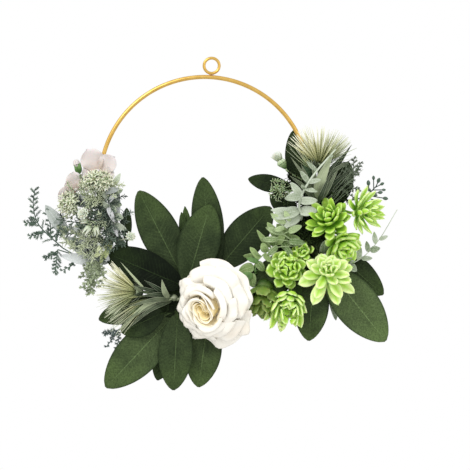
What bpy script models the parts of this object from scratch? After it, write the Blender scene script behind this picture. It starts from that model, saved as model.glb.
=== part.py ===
"""A mixed floral hoop wreath that hangs on a wall: a brass-coloured wire hoop with a hanging eye, three
bindings of floral tape, and artificial stems tied to them: large dark leaves, an open rose, two proteas,
seven succulents, eucalyptus sprays, white blossoms, florets and cedar fronds.

Metres, +Z up. The wreath lies in the XZ plane and faces -Y. The origin is the hanging point, the highest
point inside the eye. Places in the tables are millimetres from the centre of the hoop, as (x, y, z).
"""
import math
import random

import bmesh
import bpy
from mathutils import Matrix, Vector

# Units and directions
MM = 0.001
UP = Vector((0, 0, 1))
FRONT = Vector((0, -1, 0))
GOLDEN_ANGLE = math.radians(137.508)

# Hoop and hanging eye
HOOP_RADIUS = 122.5
WIRE_RADIUS = 2.5
HOOP_STEPS = 48
WIRE_SIDES = 6
EYE_STEPS = 16
WELD_RADIUS = 1.4
WELD_LENGTH = 7.0
EYE_RADIUS = 8.9
EYE_WIRE_RADIUS = 1.75
EYE_LEAN = math.radians(3.5)
CLEARANCE = 0.3
SEAT_GAP = 0.5
EYE_OUT = HOOP_RADIUS + WIRE_RADIUS + CLEARANCE + EYE_WIRE_RADIUS + EYE_RADIUS
HOOP_CENTRE = Vector((
    -EYE_OUT * math.sin(EYE_LEAN),
    0.0,
    -EYE_OUT * math.cos(EYE_LEAN) - EYE_RADIUS + EYE_WIRE_RADIUS,
))

# Floral tape bound round the hoop: first and last angle in degrees, anticlockwise from +X
TAPE_RADIUS = 5.5
TAPES = {"tape_left": (165, 225), "tape_centre": (240, 292.5), "tape_right": (300, 375)}

# Stems and blades
PETIOLE_RADIUS = 1.2
STEM_RADIUS = 1.8
TWIG_RADIUS = 0.7
BLADE_THICKNESS = 0.8
PETAL_THICKNESS = 0.8


def clear_scene():
    for old in list(bpy.data.objects):
        bpy.data.objects.remove(old)
    for old in list(bpy.data.collections):
        bpy.data.collections.remove(old)


def place(spot):
    """World position in metres of a spot given in millimetres from the hoop's centre."""
    return (Vector(spot) + HOOP_CENTRE) * MM


def route(points, t):
    """The point at t on a smooth curve through all the points: a Catmull-Rom spline, whose slope at each
    point is half the step between its neighbours."""
    points = [Vector(point) for point in points]
    points = [2 * points[0] - points[1], *points, 2 * points[-1] - points[-2]]
    spans = len(points) - 3
    span = min(int(t * spans), spans - 1)
    s = t * spans - span
    a, b, c, d = points[span:span + 4]
    return (2 * b + (c - a) * s + (2 * a - 5 * b + 4 * c - d) * s**2 + (3 * b - a - 3 * c + d) * s**3) / 2


def curve_frame(points, t, facing):
    """Position, tangent, side and normal at t, the normal as near to facing as the tangent lets it be."""
    step = 0.01
    here = route(points, t)
    tangent = (route(points, min(t + step, 1)) - route(points, max(t - step, 0))).normalized()
    side = tangent.cross(Vector(facing)).normalized()
    return here, tangent, side, side.cross(tangent)


def axis_matrix(origin, axis, facing=UP):
    """A frame whose Z runs along axis, with its Y as near to facing as it can be."""
    z = Vector(axis).normalized()
    if abs(z.dot(Vector(facing).normalized())) > 0.98:
        facing = Vector((0, 1, 0))
    x = Vector(facing).cross(z).normalized()
    y = z.cross(x)
    matrix = Matrix((x, y, z)).transposed().to_4x4()
    matrix.translation = Vector(origin)
    return matrix


def material(name, colour, roughness=0.6, metallic=0.0):
    made = bpy.data.materials.new(name)
    made.use_nodes = True
    shader = made.node_tree.nodes["Principled BSDF"]
    shader.inputs["Base Color"].default_value = (*colour, 1.0)
    shader.inputs["Roughness"].default_value = roughness
    shader.inputs["Metallic"].default_value = metallic
    return made


def loose_object(bm, to_metres=True):
    """A mesh object, linked to the scene for a union or a modifier to work on."""
    if to_metres:
        for vert in bm.verts:
            vert.co = place(vert.co)
    mesh = bpy.data.meshes.new("piece")
    bm.to_mesh(mesh)
    bm.free()
    made = bpy.data.objects.new("piece", mesh)
    bpy.context.scene.collection.objects.link(made)
    return made


def evaluated_mesh(thing):
    bpy.context.view_layer.update()
    graph = bpy.context.evaluated_depsgraph_get()
    return bpy.data.meshes.new_from_object(thing.evaluated_get(graph))


def solidified(bm, thickness):
    """A closed blade from an open sheet, with half its thickness on each side."""
    sheet = loose_object(bm)
    wall = sheet.modifiers.new("thickness", "SOLIDIFY")
    wall.thickness = thickness * MM
    wall.offset = 0.0
    mesh = evaluated_mesh(sheet)
    bpy.data.objects.remove(sheet)
    made = bpy.data.objects.new("piece", mesh)
    bpy.context.scene.collection.objects.link(made)
    return made


def tube(points, radii, resolution=1):
    """A round stem through the points, as a poly curve with filled caps, made a mesh."""
    curve = bpy.data.curves.new("stem", "CURVE")
    curve.dimensions = "3D"
    curve.bevel_depth = MM
    curve.bevel_resolution = resolution
    curve.use_fill_caps = True
    spline = curve.splines.new("POLY")
    spline.points.add(len(points) - 1)
    for point, spot, radius in zip(spline.points, points, radii):
        point.co = (*place(spot), 1.0)
        point.radius = radius
    guide = bpy.data.objects.new("stem", curve)
    bpy.context.scene.collection.objects.link(guide)
    mesh = evaluated_mesh(guide)
    bpy.data.objects.remove(guide)
    bm = bmesh.new()
    bm.from_mesh(mesh)
    bmesh.ops.remove_doubles(bm, verts=bm.verts, dist=1e-6)
    bmesh.ops.recalc_face_normals(bm, faces=bm.faces)
    return loose_object(bm, to_metres=False)


def stem(points, radius, steps=5, end_share=1.0, resolution=0):
    """A stem on the smooth curve through these points, tapering to end_share of its radius."""
    shares = [i / steps for i in range(steps + 1)]
    radii = [radius * (1 + (end_share - 1) * t) for t in shares]
    return tube([route(points, t) for t in shares], radii, resolution)


def keep_largest_body(mesh):
    """Leaves the largest closed body: loose scraps go, and hollows that the union sealed are filled."""
    bm = bmesh.new()
    bm.from_mesh(mesh)
    bm.faces.ensure_lookup_table()
    left = set(bm.faces)
    bodies = []
    while left:
        body = set()
        front = [left.pop()]
        while front:
            face = front.pop()
            body.add(face)
            for edge in face.edges:
                for other in edge.link_faces:
                    if other in left:
                        left.remove(other)
                        front.append(other)
        bodies.append(body)
    bodies.sort(key=lambda body: sum(face.calc_area() for face in body), reverse=True)
    spare = [face for body in bodies[1:] for face in body]
    bmesh.ops.delete(bm, geom=spare, context="FACES")
    bm.to_mesh(mesh)
    bm.free()


def finish(name, mesh, look):
    """The named part, in the wreath's collection, with its own material."""
    part = bpy.data.objects.new(name, mesh)
    mesh.name = name
    mesh.materials.clear()
    mesh.materials.append(look)
    wreath.objects.link(part)


def fuse(name, pieces, look):
    """One part from overlapping pieces: the rest of them joined to the first by one Boolean union."""
    first, rest = pieces[0], pieces[1:]
    gathered = bpy.data.collections.new("pieces")
    bpy.context.scene.collection.children.link(gathered)
    for piece in rest:
        bpy.context.scene.collection.objects.unlink(piece)
        gathered.objects.link(piece)
    union = first.modifiers.new("union", "BOOLEAN")
    union.operation = "UNION"
    union.operand_type = "COLLECTION"
    union.collection = gathered
    union.solver = "MANIFOLD"
    mesh = evaluated_mesh(first)
    mesh.transform(first.matrix_world)
    for piece in pieces:
        bpy.data.objects.remove(piece)
    bpy.data.collections.remove(gathered)
    keep_largest_body(mesh)
    finish(name, mesh, look)


def seat(arc, turn):
    """A point just clear of a tape and the way out from it: arc in degrees round the hoop, turn in degrees
    round the wire, 0 away from the hoop's centre, 90 to the front, 180 to the centre and 270 to the back."""
    arc, turn = math.radians(arc), math.radians(turn)
    outward = Vector((math.cos(arc), 0, math.sin(arc)))
    way = outward * math.cos(turn) + FRONT * math.sin(turn)
    facet = 2 * math.pi / WIRE_SIDES
    surface = TAPE_RADIUS * math.cos(facet / 2) / math.cos(turn % facet - facet / 2)
    return outward * HOOP_RADIUS + way * (surface + SEAT_GAP), way


def seated_stem(arc, turn, end, arrival, radius, steps=4, end_share=1.0, pull=0.35):
    """A stem from its seat on a tape to a piece's base, which leaves the tape square and arrives along
    arrival."""
    start, way = seat(arc, turn)
    end = Vector(end)
    reach = (end - start).length * pull
    points = [start, start + way * reach * 0.5, end - Vector(arrival).normalized() * reach * 0.7, end]
    return stem(points, radius, steps, end_share)


def leaf_outline(t, peak=1.1, fullness=0.62, neck=0.16):
    """Half-width share of a broad leaf: widest past the middle, a narrow neck at 0 and a point at 1."""
    return neck * (1 - t) ** 2 + math.sin(math.pi * min(t, 1) ** peak) ** fullness * (t < 1)


def blade(spine, width, outline=leaf_outline, cup=0.12, wave=0.0, waves=1.2, rows=5, columns=4):
    """A leaf or petal along a spine: half-width u * width / 2 * outline(t) to each side, its edges raised
    towards facing by cup of their distance from the midrib, and waved by a sine along their length."""
    bm = bmesh.new()
    bmesh.ops.create_grid(bm, x_segments=columns, y_segments=rows, size=1.0)
    for vert in bm.verts:
        u, t = vert.co.x, (vert.co.y + 1) / 2
        here, _, side, normal = curve_frame(spine, t, FRONT)
        out = abs(u) * width / 2 * outline(t)
        rise = cup * out + wave * u * abs(u) * math.sin(2 * math.pi * waves * t + (0.8 if u > 0 else 0))
        vert.co = here + side * math.copysign(out, u) + normal * rise
    bmesh.ops.remove_doubles(bm, verts=bm.verts, dist=0.01)
    bmesh.ops.triangulate(bm, faces=bm.faces)
    return solidified(bm, BLADE_THICKNESS)


def plate(base, tip, width, facing=FRONT, corners=6, cup=0.15):
    """A small rounded leaf or petal from base to tip: a disc of few corners, one of them at the base, drawn
    out, with its middle pushed back so that it is slightly hollow."""
    bm = bmesh.new()
    bmesh.ops.create_circle(bm, cap_ends=True, segments=corners, radius=1.0)
    if cup:
        bmesh.ops.poke(bm, faces=bm.faces)
    base, tip = Vector(base), Vector(tip)
    axis = tip - base
    side = axis.cross(Vector(facing)).normalized()
    normal = side.cross(axis).normalized()
    for vert in bm.verts:
        x, y = vert.co.x, -vert.co.y
        out = math.hypot(x, y)
        vert.co = base + axis * (1 + y) / 2 + side * x * width / 2 + normal * cup * width * (out - 1)
    return solidified(bm, BLADE_THICKNESS)


def spindle(base, tip, width, depth, facing=FRONT, sides=4, rings=3, bend=0.0, peak=1.0):
    """A fleshy petal: a sphere of few faces drawn out from base to tip, width across and depth thick,
    widest past its middle where peak is over 1, bent towards facing by bend of its length."""
    bm = bmesh.new()
    bmesh.ops.create_uvsphere(bm, u_segments=sides, v_segments=rings, radius=1.0)
    base, tip = Vector(base), Vector(tip)
    axis = tip - base
    side = axis.cross(Vector(facing)).normalized()
    normal = side.cross(axis).normalized()
    for vert in bm.verts:
        t = ((vert.co.z + 1) / 2) ** (1 / peak)
        arch = 4 * t * (1 - t) * bend * axis.length
        across = side * vert.co.x * width / 2
        vert.co = base + axis * t + across - normal * (vert.co.y * depth / 2 - arch)
    return loose_object(bm)


def needle(base, tip, radius, sides=3):
    """A pointed needle with few sides."""
    bm = bmesh.new()
    base, tip = Vector(base), Vector(tip)
    length = (tip - base).length
    bmesh.ops.create_cone(bm, cap_ends=True, segments=sides, radius1=radius, radius2=0.0, depth=length)
    frame = axis_matrix((base + tip) / 2, tip - base)
    bmesh.ops.transform(bm, matrix=frame, verts=bm.verts)
    return loose_object(bm)


def ellipsoid(centre, radii, axis=UP, sides=6, rings=4):
    """A closed core, bud or seed: a sphere of few faces with a radius each way, the last along axis."""
    bm = bmesh.new()
    bmesh.ops.create_uvsphere(bm, u_segments=sides, v_segments=rings, radius=1.0)
    matrix = axis_matrix(centre, axis) @ Matrix.Diagonal((*radii, 1))
    bmesh.ops.transform(bm, matrix=matrix, verts=bm.verts)
    return loose_object(bm)


def make_hoop():
    bpy.ops.mesh.primitive_torus_add(
        major_segments=HOOP_STEPS,
        minor_segments=WIRE_SIDES,
        major_radius=HOOP_RADIUS * MM,
        minor_radius=WIRE_RADIUS * MM,
        location=HOOP_CENTRE * MM,
        rotation=(math.pi / 2, 0, 0),
    )
    hoop = bpy.context.object
    hoop.name = "hoop"
    hoop.data.materials.append(material("gold_wire", (0.75, 0.52, 0.18), 0.35, 1.0))
    wreath.objects.link(hoop)
    bpy.context.scene.collection.objects.unlink(hoop)


def make_eye():
    """The wire ring on top, with the weld bead that joins it to the hoop fused to its foot."""
    way = Vector((math.sin(EYE_LEAN), 0, math.cos(EYE_LEAN)))
    centre = way * EYE_OUT
    bpy.ops.mesh.primitive_torus_add(
        major_segments=EYE_STEPS,
        minor_segments=WIRE_SIDES,
        major_radius=EYE_RADIUS * MM,
        minor_radius=EYE_WIRE_RADIUS * MM,
        location=place(centre),
        rotation=(math.pi / 2, EYE_LEAN, 0),
    )
    ring = bpy.context.object
    foot = HOOP_RADIUS + WIRE_RADIUS + CLEARANCE
    along = way.cross(FRONT).normalized()
    middle = way * (foot + WELD_RADIUS)
    half = along * WELD_LENGTH / 2
    weld = tube([middle - half, middle + half], [WELD_RADIUS] * 2)
    fuse("hanging_eye", [ring, weld], material("gold_eye", (0.75, 0.52, 0.18), 0.35, 1.0))


def make_tape(name, first, last):
    """A sleeve of wound tape: a circle turned round the hoop's axis, with a wall that clears the wire."""
    bm = bmesh.new()
    bmesh.ops.create_circle(bm, segments=WIRE_SIDES, radius=TAPE_RADIUS * MM)
    start = math.radians(first)
    out = Vector((math.cos(start), 0, math.sin(start)))
    frame = Matrix((FRONT, out, FRONT.cross(out))).transposed().to_4x4()
    frame.translation = out * HOOP_RADIUS * MM
    bmesh.ops.transform(bm, matrix=frame, verts=bm.verts)
    step = 360 / HOOP_STEPS
    bmesh.ops.spin(
        bm,
        geom=bm.edges[:],
        cent=(0, 0, 0),
        axis=(0, 1, 0),
        angle=-math.radians(last - first),
        steps=round((last - first) / step),
        use_duplicate=False,
    )
    bmesh.ops.recalc_face_normals(bm, faces=bm.faces)
    bmesh.ops.translate(bm, vec=HOOP_CENTRE * MM, verts=bm.verts)
    sheet = loose_object(bm, to_metres=False)
    wall = sheet.modifiers.new("wall", "SOLIDIFY")
    wall.thickness = (TAPE_RADIUS - WIRE_RADIUS - CLEARANCE) * MM
    wall.offset = -1.0
    mesh = evaluated_mesh(sheet)
    bpy.data.objects.remove(sheet)
    finish(name, mesh, material(name, (0.06, 0.12, 0.05), 0.8))


# Large leaves: base, tip, width, seat (arc, turn), bow towards the front, cup, wave. Broad ones get more
# rows and columns
LEAVES = {
    "leaf_upper_1": ((-24, -8.5, -115), (-77, -10, -11), 44, (255, 130), 3, 0.10, 0.8),
    "leaf_upper_2": ((-26, -12, -122), (-116, -14, -83), 43, (249, 90), 3, 0.10, 0.8),
    "leaf_upper_3": ((10, -9, -107), (-2, -8, 5), 36, (274, 135), 3, 0.10, 0.8),
    "leaf_upper_4": ((-20, -13, -120), (7, -15, -27), 47, (261, 100), 2, 0.10, 0.8),
    "leaf_upper_5": ((17, -7, -101), (78, -6, -30), 44, (281, 150), 3, 0.10, 0.8),
    "leaf_lower_1": ((-35, -11.5, -156), (-115, -13, -241), 48, (249, 10), 3, 0.10, 0.8),
    "leaf_lower_2": ((-31, -15, -155), (-36, -15.5, -244), 39, (260, 30), 3, 0.10, 0.8),
    "leaf_lower_3": ((5, -7, -155), (-7, -8, -241), 41, (268, 10), 1, 0.10, 0.8),
    "leaf_lower_4": ((-52, -4, -139), (-124, -5, -162), 29, (244, 0), 2, 0.10, 0.4),
    "leaf_lower_5": ((-48, -18, -153), (-97, -18, -176), 31, (250.5, 45), 2, 0.10, 0.4),
    "leaf_lower_6": ((-35, -8, -160), (-55, -8, -233), 28, (255, 0), 2, 0.10, 0.4),
    "leaf_right_1": ((128, -2, -101), (122, -5, -187), 40, (324, 20), 3, 0.10, 0.6),
    "leaf_right_2": ((142, -6, -100), (212, -9, -187), 50, (330, 5), 3, 0.10, 0.8),
    "leaf_right_3": ((142, 0, -75), (210, 1, -133), 33, (340, 350), 2, 0.10, 0.4),
    "leaf_back_1": ((115, 8, -14), (105, 8, 61), 29, (359, 270), 1, 0.05, 0.0),
    "leaf_back_2": ((102, 2, -8), (51, 0, 3), 20, (355, 180), 1, 0.08, 0.3),
    "leaf_back_3": ((137, 6, -38), (170, 6, 23), 36, (350, 330), 1, 0.05, 0.3),
    "leaf_back_4": ((107, 4, -34), (77, 3, -16), 24, (345, 190), 1, 0.05, 0.3),
    "leaf_back_5": ((123, 8, -36), (110, 8, -79), 21, (343, 300), 1, 0.05, 0.3),
    "leaf_side": ((-91, -6, -71), (-91, -6, -31), 12, (220, 130), 1, 0.10, 0.3),
}
BROAD_LEAF = 37


def make_leaf(name, base, tip, width, place_on_tape, bow, cup, wave):
    base, tip = Vector(base), Vector(tip)
    middle = (base + tip) / 2 + FRONT * bow
    spine = [base, middle, tip]
    arc, turn = place_on_tape
    inside = route(spine, 0.07)
    petiole = seated_stem(arc, turn, inside, inside - base, PETIOLE_RADIUS, 3, 0.9)
    rows, columns = (5, 4) if width > BROAD_LEAF else (4, 2)
    pieces = [blade(spine, width, cup=cup, wave=wave, rows=rows, columns=columns), petiole]
    fuse(name, pieces, material(name, (0.055, 0.11, 0.05), 0.55))


# Rose: centre of its back, the eye of the bud, then radius and thickness of the cup the petals stand in
ROSE_BACK = (12, -32, -142)
ROSE_EYE = (4, -60, -147)
ROSE_CUP = (21.0, 3.2)
ROSE_LAYERS = (
    # petals, radius at foot, radius at rim, height of rim, half span in degrees, flare, rows
    (2, 3.0, 5.0, 27.0, 95, 0.0, 2),
    (3, 6.0, 12.0, 27.0, 66, 0.1, 2),
    (4, 9.5, 22.0, 24.0, 50, 0.3, 2),
    (5, 13.5, 35.0, 14.0, 41, 0.7, 2),
    (5, 18.0, 51.0, 4.0, 42, 1.0, 3),
)


def rose_petal(frame, turn, foot_radius, rim_radius, rim_height, half_span, flare, rows, columns=3):
    """A petal wrapped round the rose's axis, from its foot in the cup to its rim. Its height follows a
    sine that turns over by flare, its sides draw in towards the foot, its corners dip, and one side
    stands further out than the other, so that each petal tucks under the next."""
    bm = bmesh.new()
    bmesh.ops.create_grid(bm, x_segments=columns, y_segments=rows, size=1.0)
    for vert in bm.verts:
        u, v = vert.co.x, (vert.co.y + 1) / 2
        span = half_span * (0.5 + 0.5 * math.sin(math.pi * v / 2))
        angle = turn + math.radians(span) * u
        tuck = 1 + 0.08 * u - 0.10 * u * u * v
        radius = (foot_radius + (rim_radius - foot_radius) * v ** (0.7 + 0.3 * flare)) * tuck
        quarter = math.pi / 2 * (1 + 0.55 * flare)
        height = rim_height * math.sin(quarter * v) / math.sin(quarter) * (1 - 0.1 * u * u)
        vert.co = frame @ Vector((radius * math.cos(angle), radius * math.sin(angle), height))
    bmesh.ops.triangulate(bm, faces=bm.faces)
    return solidified(bm, PETAL_THICKNESS)


def make_rose():
    axis = Vector(ROSE_EYE) - Vector(ROSE_BACK)
    frame = axis_matrix(ROSE_BACK, axis)
    pieces = [ellipsoid(ROSE_BACK, (ROSE_CUP[0], ROSE_CUP[0], ROSE_CUP[1]), axis, 10, 4)]
    pieces.append(spindle(ROSE_BACK, Vector(ROSE_BACK) + axis * 0.75, 5.0, 5.0))
    turn = 0.0
    for count, *shape in ROSE_LAYERS:
        for petal in range(count):
            pieces.append(rose_petal(frame, turn + 2 * math.pi * petal / count, *shape))
        turn += GOLDEN_ANGLE
    fuse("rose_bloom", pieces, material("rose_bloom", (0.9, 0.85, 0.74), 0.7))


def make_rose_calyx():
    axis = (Vector(ROSE_EYE) - Vector(ROSE_BACK)).normalized()
    back = Vector(ROSE_BACK) - axis * 6.3
    pieces = [spindle(back - axis * 5, back + axis * 2.8, 11, 11, sides=6)]
    frame = axis_matrix(back, axis)
    for sepal in range(4):
        angle = math.pi / 2 * sepal
        out = frame @ Vector((math.cos(angle), math.sin(angle), -0.15)) - frame.translation
        pieces.append(plate(back, back + out * 14, 6, facing=axis, cup=0))
    pieces.append(seated_stem(277, 55, back, axis, STEM_RADIUS))
    fuse("rose_calyx", pieces, material("rose_calyx", (0.12, 0.25, 0.06), 0.6))


# Proteas: base of the needle head, axis, spread to each side, to the front and to the back, needle length
# and count, seat of the leafy stem under it
PROTEAS = {
    "protea_right": ((133, -15, 20), (0.1, -0.22, 1.0), 1.15, 0.8, 0.05, 47, 32, (352, 68)),
    "protea_left": ((-76, -24, -129), (-1.0, -0.15, 0.05), 0.95, 0.8, 0.05, 50, 30, (263, 80)),
}


def make_protea_head(name, base, axis, wide, forward, back, length, count, foot):
    """Needles fanned from a small core, wide to the sides and forward, and little to the back, on a neck
    that ends among the bracts."""
    axis = Vector(axis).normalized()
    side = axis.cross(FRONT).normalized()
    front = side.cross(axis)
    base = Vector(base)
    draw = random.Random(name)
    low, high = base - axis * 5, base + axis * 14
    pieces = [spindle(low, high, 24 * wide, 17 * forward, sides=6, rings=3, peak=1.7)]
    for i in range(count):
        out = math.sqrt((i + 0.5) / count)
        angle = i * GOLDEN_ANGLE
        depth = math.sin(angle) * (forward if math.sin(angle) > 0 else back)
        way = (axis + side * out * math.cos(angle) * wide + front * out * depth).normalized()
        reach = length * draw.uniform(0.86, 1.0)
        pieces.append(needle(base + way * 8.5, base + way * reach, 1.0))
    pieces.append(stem([base + axis * 2, base - axis * 8, foot + (base - foot) * 0.15], 1.6, 4))
    fuse(name + "_head", pieces, material(name + "_head", (0.78, 0.8, 0.6), 0.6))


# Bracts of each protea: foot, middle, tip, width
BRACTS = {
    "protea_right": (
        ((133, -19, -22), (126, -24, -5), (101, -22, 29), 5.5),
        ((133, -21, -22), (130, -27, -10), (114, -25, 21), 6),
        ((134, -21, -22), (131, -30, -1), (148, -31, 36), 12),
        ((135, -19, -22), (142, -26, 1), (171, -22, 25), 7),
        ((135, -18, -21), (144, -20, 4), (172, -17, 43), 8),
        ((134, -20, -22), (137, -28, 1), (158, -29, 29), 8),
    ),
    "protea_left": (
        ((-38, -16, -139), (-63, -27, -143), (-101, -24, -176), 7),
        ((-38, -16, -136), (-63, -26, -127), (-83, -33, -119), 7),
        ((-38, -17, -138), (-55, -31, -136), (-87, -36, -142), 9),
        ((-38, -17, -138), (-61, -29, -141), (-96, -31, -160), 8),
        ((-38, -16, -135), (-52, -23, -128), (-98, -20, -96), 4),
        ((-41, -18, -135), (-45, -25, -127), (-49, -28, -113), 8),
    ),
}


def narrow_outline(t):
    """A lance shape: a third of its width at the foot, widest at two fifths and a long point."""
    return 0.35 * (1 - t) ** 2 + math.sin(math.pi * min(t, 1) ** 0.75) ** 0.9 * (t < 1)


def make_bracts(name, bracts, foot, head, place_on_tape):
    """The narrow leaves under a head, from one knot on their own stem."""
    arc, turn = place_on_tape
    pieces = [seated_stem(arc, turn, foot, head - foot, STEM_RADIUS)]
    for base, middle, tip, width in bracts:
        pieces.append(blade([base, middle, tip], width, narrow_outline, cup=0.25, rows=3, columns=2))
    pieces.append(ellipsoid(foot, (4, 4, 4.5), sides=5, rings=3))
    fuse(name + "_bracts", pieces, material(name + "_bracts", (0.3, 0.42, 0.22), 0.6))


# Succulents: centre of the back, axis, petal length, petals in each ring, first turn, lowest petals' rise
# in degrees, seat on a tape
SUCCULENTS = {
    "succulent_1": ((147, -27, -48), (0.0, -0.8, 0.5), 29, (6, 4, 1), 0.3, 14, (345, 60)),
    "succulent_2": ((158, -12, -68), (0.5, -0.5, -0.6), 25, (5, 3), 0.9, 38, (334, 35)),
    "succulent_3": ((178, -18, -36), (0.8, -0.6, 0.0), 33, (5, 4), 0.2, 34, (351, 25)),
    "succulent_4": ((96, -18, -101), (0.1, -1.0, 0.0), 25, (6, 4, 1), 0.5, 12, (322, 80)),
    "succulent_5": ((142, -28, -110), (0.0, -1.0, -0.15), 34, (6, 5, 1), 0.1, 12, (327, 60)),
    "succulent_6": ((100, -18, -133), (0.0, -0.6, -0.8), 38, (5, 3), 0.4, 50, (313, 40)),
    "succulent_7": ((70, -8, -119), (-0.08, -0.3, -0.95), 40, (4, 2), 0.8, 60, (305, 60)),
}
PETAL_RINGS = 2
DARK_SUCCULENTS = ("succulent_7",)


def make_succulent(name, back, axis, length, layers, turn, lowest, place_on_tape):
    """Fleshy petals in rings on a domed core, each ring steeper and shorter than the one under it."""
    axis = Vector(axis).normalized()
    back = Vector(back)
    frame = axis_matrix(back, axis)
    core = Vector((0.34, 0.34, 0.32)) * length
    pieces = [ellipsoid(back + axis * length * 0.1, core, axis, 6, 3)]
    for ring, count in enumerate(layers):
        rise = math.radians(lowest + (88 - lowest) * 0.36 * ring)
        reach = length * (1 - 0.14 * ring)
        for petal in range(count):
            angle = turn + ring * 0.55 + 2 * math.pi * petal / count
            flat = math.cos(rise)
            way = Vector((math.cos(angle) * flat, math.sin(angle) * flat, math.sin(rise)))
            way = frame @ way - frame.translation
            foot = back + axis * length * 0.08 * ring
            start, end = foot + way * length * (0.24 - 0.08 * ring), foot + way * reach
            pieces.append(spindle(start, end, length * 0.66, length * 0.2, facing=axis,
                                  rings=PETAL_RINGS, bend=0.06, peak=1.35))
    arc, where = place_on_tape
    pieces.append(seated_stem(arc, where, back, axis, STEM_RADIUS, 4))
    colour = (0.16, 0.33, 0.08) if name in DARK_SUCCULENTS else (0.35, 0.6, 0.12)
    fuse(name, pieces, material(name, colour, 0.5))


# Sprays: spine, seat, then leaves as (place along the spine, tip, width)
SPRAYS = {
    "eucalyptus_upper": (
        ((113, -18, -41), (110, -27, -28), (116, -34, -10), (130, -38, 11), (152, -36, 36)), (337, 90),
        (
            (0.94, (148, -40, 27), 5), (0.68, (112, -38, 12), 8), (0.62, (137, -40, 0), 8),
            (0.52, (107, -36, -3), 7), (0.48, (129, -37, -14), 8), (0.36, (96, -33, -15), 12),
            (0.26, (128, -34, -23), 9), (0.15, (95, -24, -41), 11), (0.1, (123, -28, -36), 9),
        ),
        (0.35, 0.45, 0.33),
    ),
    "frosted_filler_left": (
        ((-102, -11, -61), (-105, -14, -47), (-109, -15, -31), (-109, -15, -17), (-104, -13, -3)),
        (211.5, 85),
        (
            (0.97, (-98, -14, 9), 7), (0.9, (-116, -16, 4), 7), (0.8, (-95, -15, -10), 8),
            (0.7, (-121, -16, -12), 8), (0.6, (-96, -15, -28), 9), (0.45, (-121, -16, -22), 7),
            (0.35, (-94, -14, -43), 9), (0.2, (-91, -13, -57), 8), (0.1, (-114, -14, -64), 8),
        ),
        (0.34, 0.42, 0.33),
    ),
    "eucalyptus_lower": (
        ((101, -14, -65), (88, -17, -72), (72, -17, -83), (61, -17, -94), (53, -17, -108)), (330, 95),
        (
            (0.06, (84, -21, -52), 10), (0.22, (73, -20, -51), 9), (0.4, (60, -19, -61), 8),
            (0.62, (45, -19, -85), 9), (0.85, (40, -19, -105), 12), (0.02, (112, -20, -68), 8),
            (0.98, (57, -18, -124), 11), (0.75, (70, -18, -105), 9),
        ),
        (0.32, 0.43, 0.2),
    ),
    "eucalyptus_outer": (
        ((133, -8, -80), (159, -11, -98), (183, -12, -90), (204, -12, -68), (225, -12, -33)), (338, 15),
        (
            (0.25, (163, -13, -110), 8), (0.34, (178, -13, -105), 9), (0.46, (182, -12, -76), 7),
            (0.5, (196, -11, -90), 6), (0.62, (205, -13, -78), 8), (0.6, (189, -12, -70), 6),
            (0.75, (214, -13, -64), 5), (0.7, (198, -12, -59), 6),
        ),
        (0.4, 0.45, 0.34),
    ),
}


def make_spray(name, spine, place_on_tape, leaves, colour):
    arc, turn = place_on_tape
    start, way = seat(arc, turn)
    pieces = [stem([start, start + way * 4, *spine], 1.1, 7, 0.7)]
    for t, tip, width in leaves:
        foot = route(spine, t)
        pieces.append(plate(foot.lerp(Vector(tip), -0.12), tip, width, corners=5, cup=0))
    fuse(name, pieces, material(name, colour, 0.6))


def comb(points, length, pairs, needle_width, rib=1.2, lean=0.7):
    """A twig and its needles as one thin blade: a strip along the rib, and a triangle for each needle,
    which leans along the twig and is shorter near its end. With no needle width they are teeth that
    meet."""
    bm = bmesh.new()
    chord = sum((Vector(b) - Vector(a)).length for a, b in zip(points, points[1:]))
    half = needle_width / 2 / chord
    middles = [(i + (0.6 if needle_width else 0.5)) / pairs for i in range(pairs)]
    ends = [(t - half, t + half) if needle_width else (t - 0.5 / pairs, t + 0.5 / pairs) for t in middles]
    rows = {}
    for t in sorted({0.0, *(round(end, 6) for pair in ends for end in pair)}):
        here, _, side, _ = curve_frame(points, t, FRONT)
        rows[t] = [bm.verts.new(here - side * rib / 2), bm.verts.new(here + side * rib / 2)]
    strip = list(rows.values())
    for (left, right), (next_left, next_right) in zip(strip, strip[1:]):
        bm.faces.new([left, right, next_right, next_left])
    for i, (t, (first, last)) in enumerate(zip(middles, ends)):
        here, along, side, normal = curve_frame(points, t, FRONT)
        reach = length * (1 - 0.4 * i / pairs)
        near, far = rows[round(first, 6)], rows[round(last, 6)]
        for hand, sign in enumerate((-1, 1)):
            way = (side * sign + along * lean).normalized()
            tip = bm.verts.new(here + side * sign * rib / 2 + way * reach + normal * 0.15 * length)
            bm.faces.new([near[hand], tip, far[hand]][::sign])
    end, tangent, _, _ = curve_frame(points, 1.0, FRONT)
    bm.faces.new([*strip[-1], bm.verts.new(end + tangent * length * 0.4)])
    bmesh.ops.triangulate(bm, faces=bm.faces)
    return solidified(bm, BLADE_THICKNESS)


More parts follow.
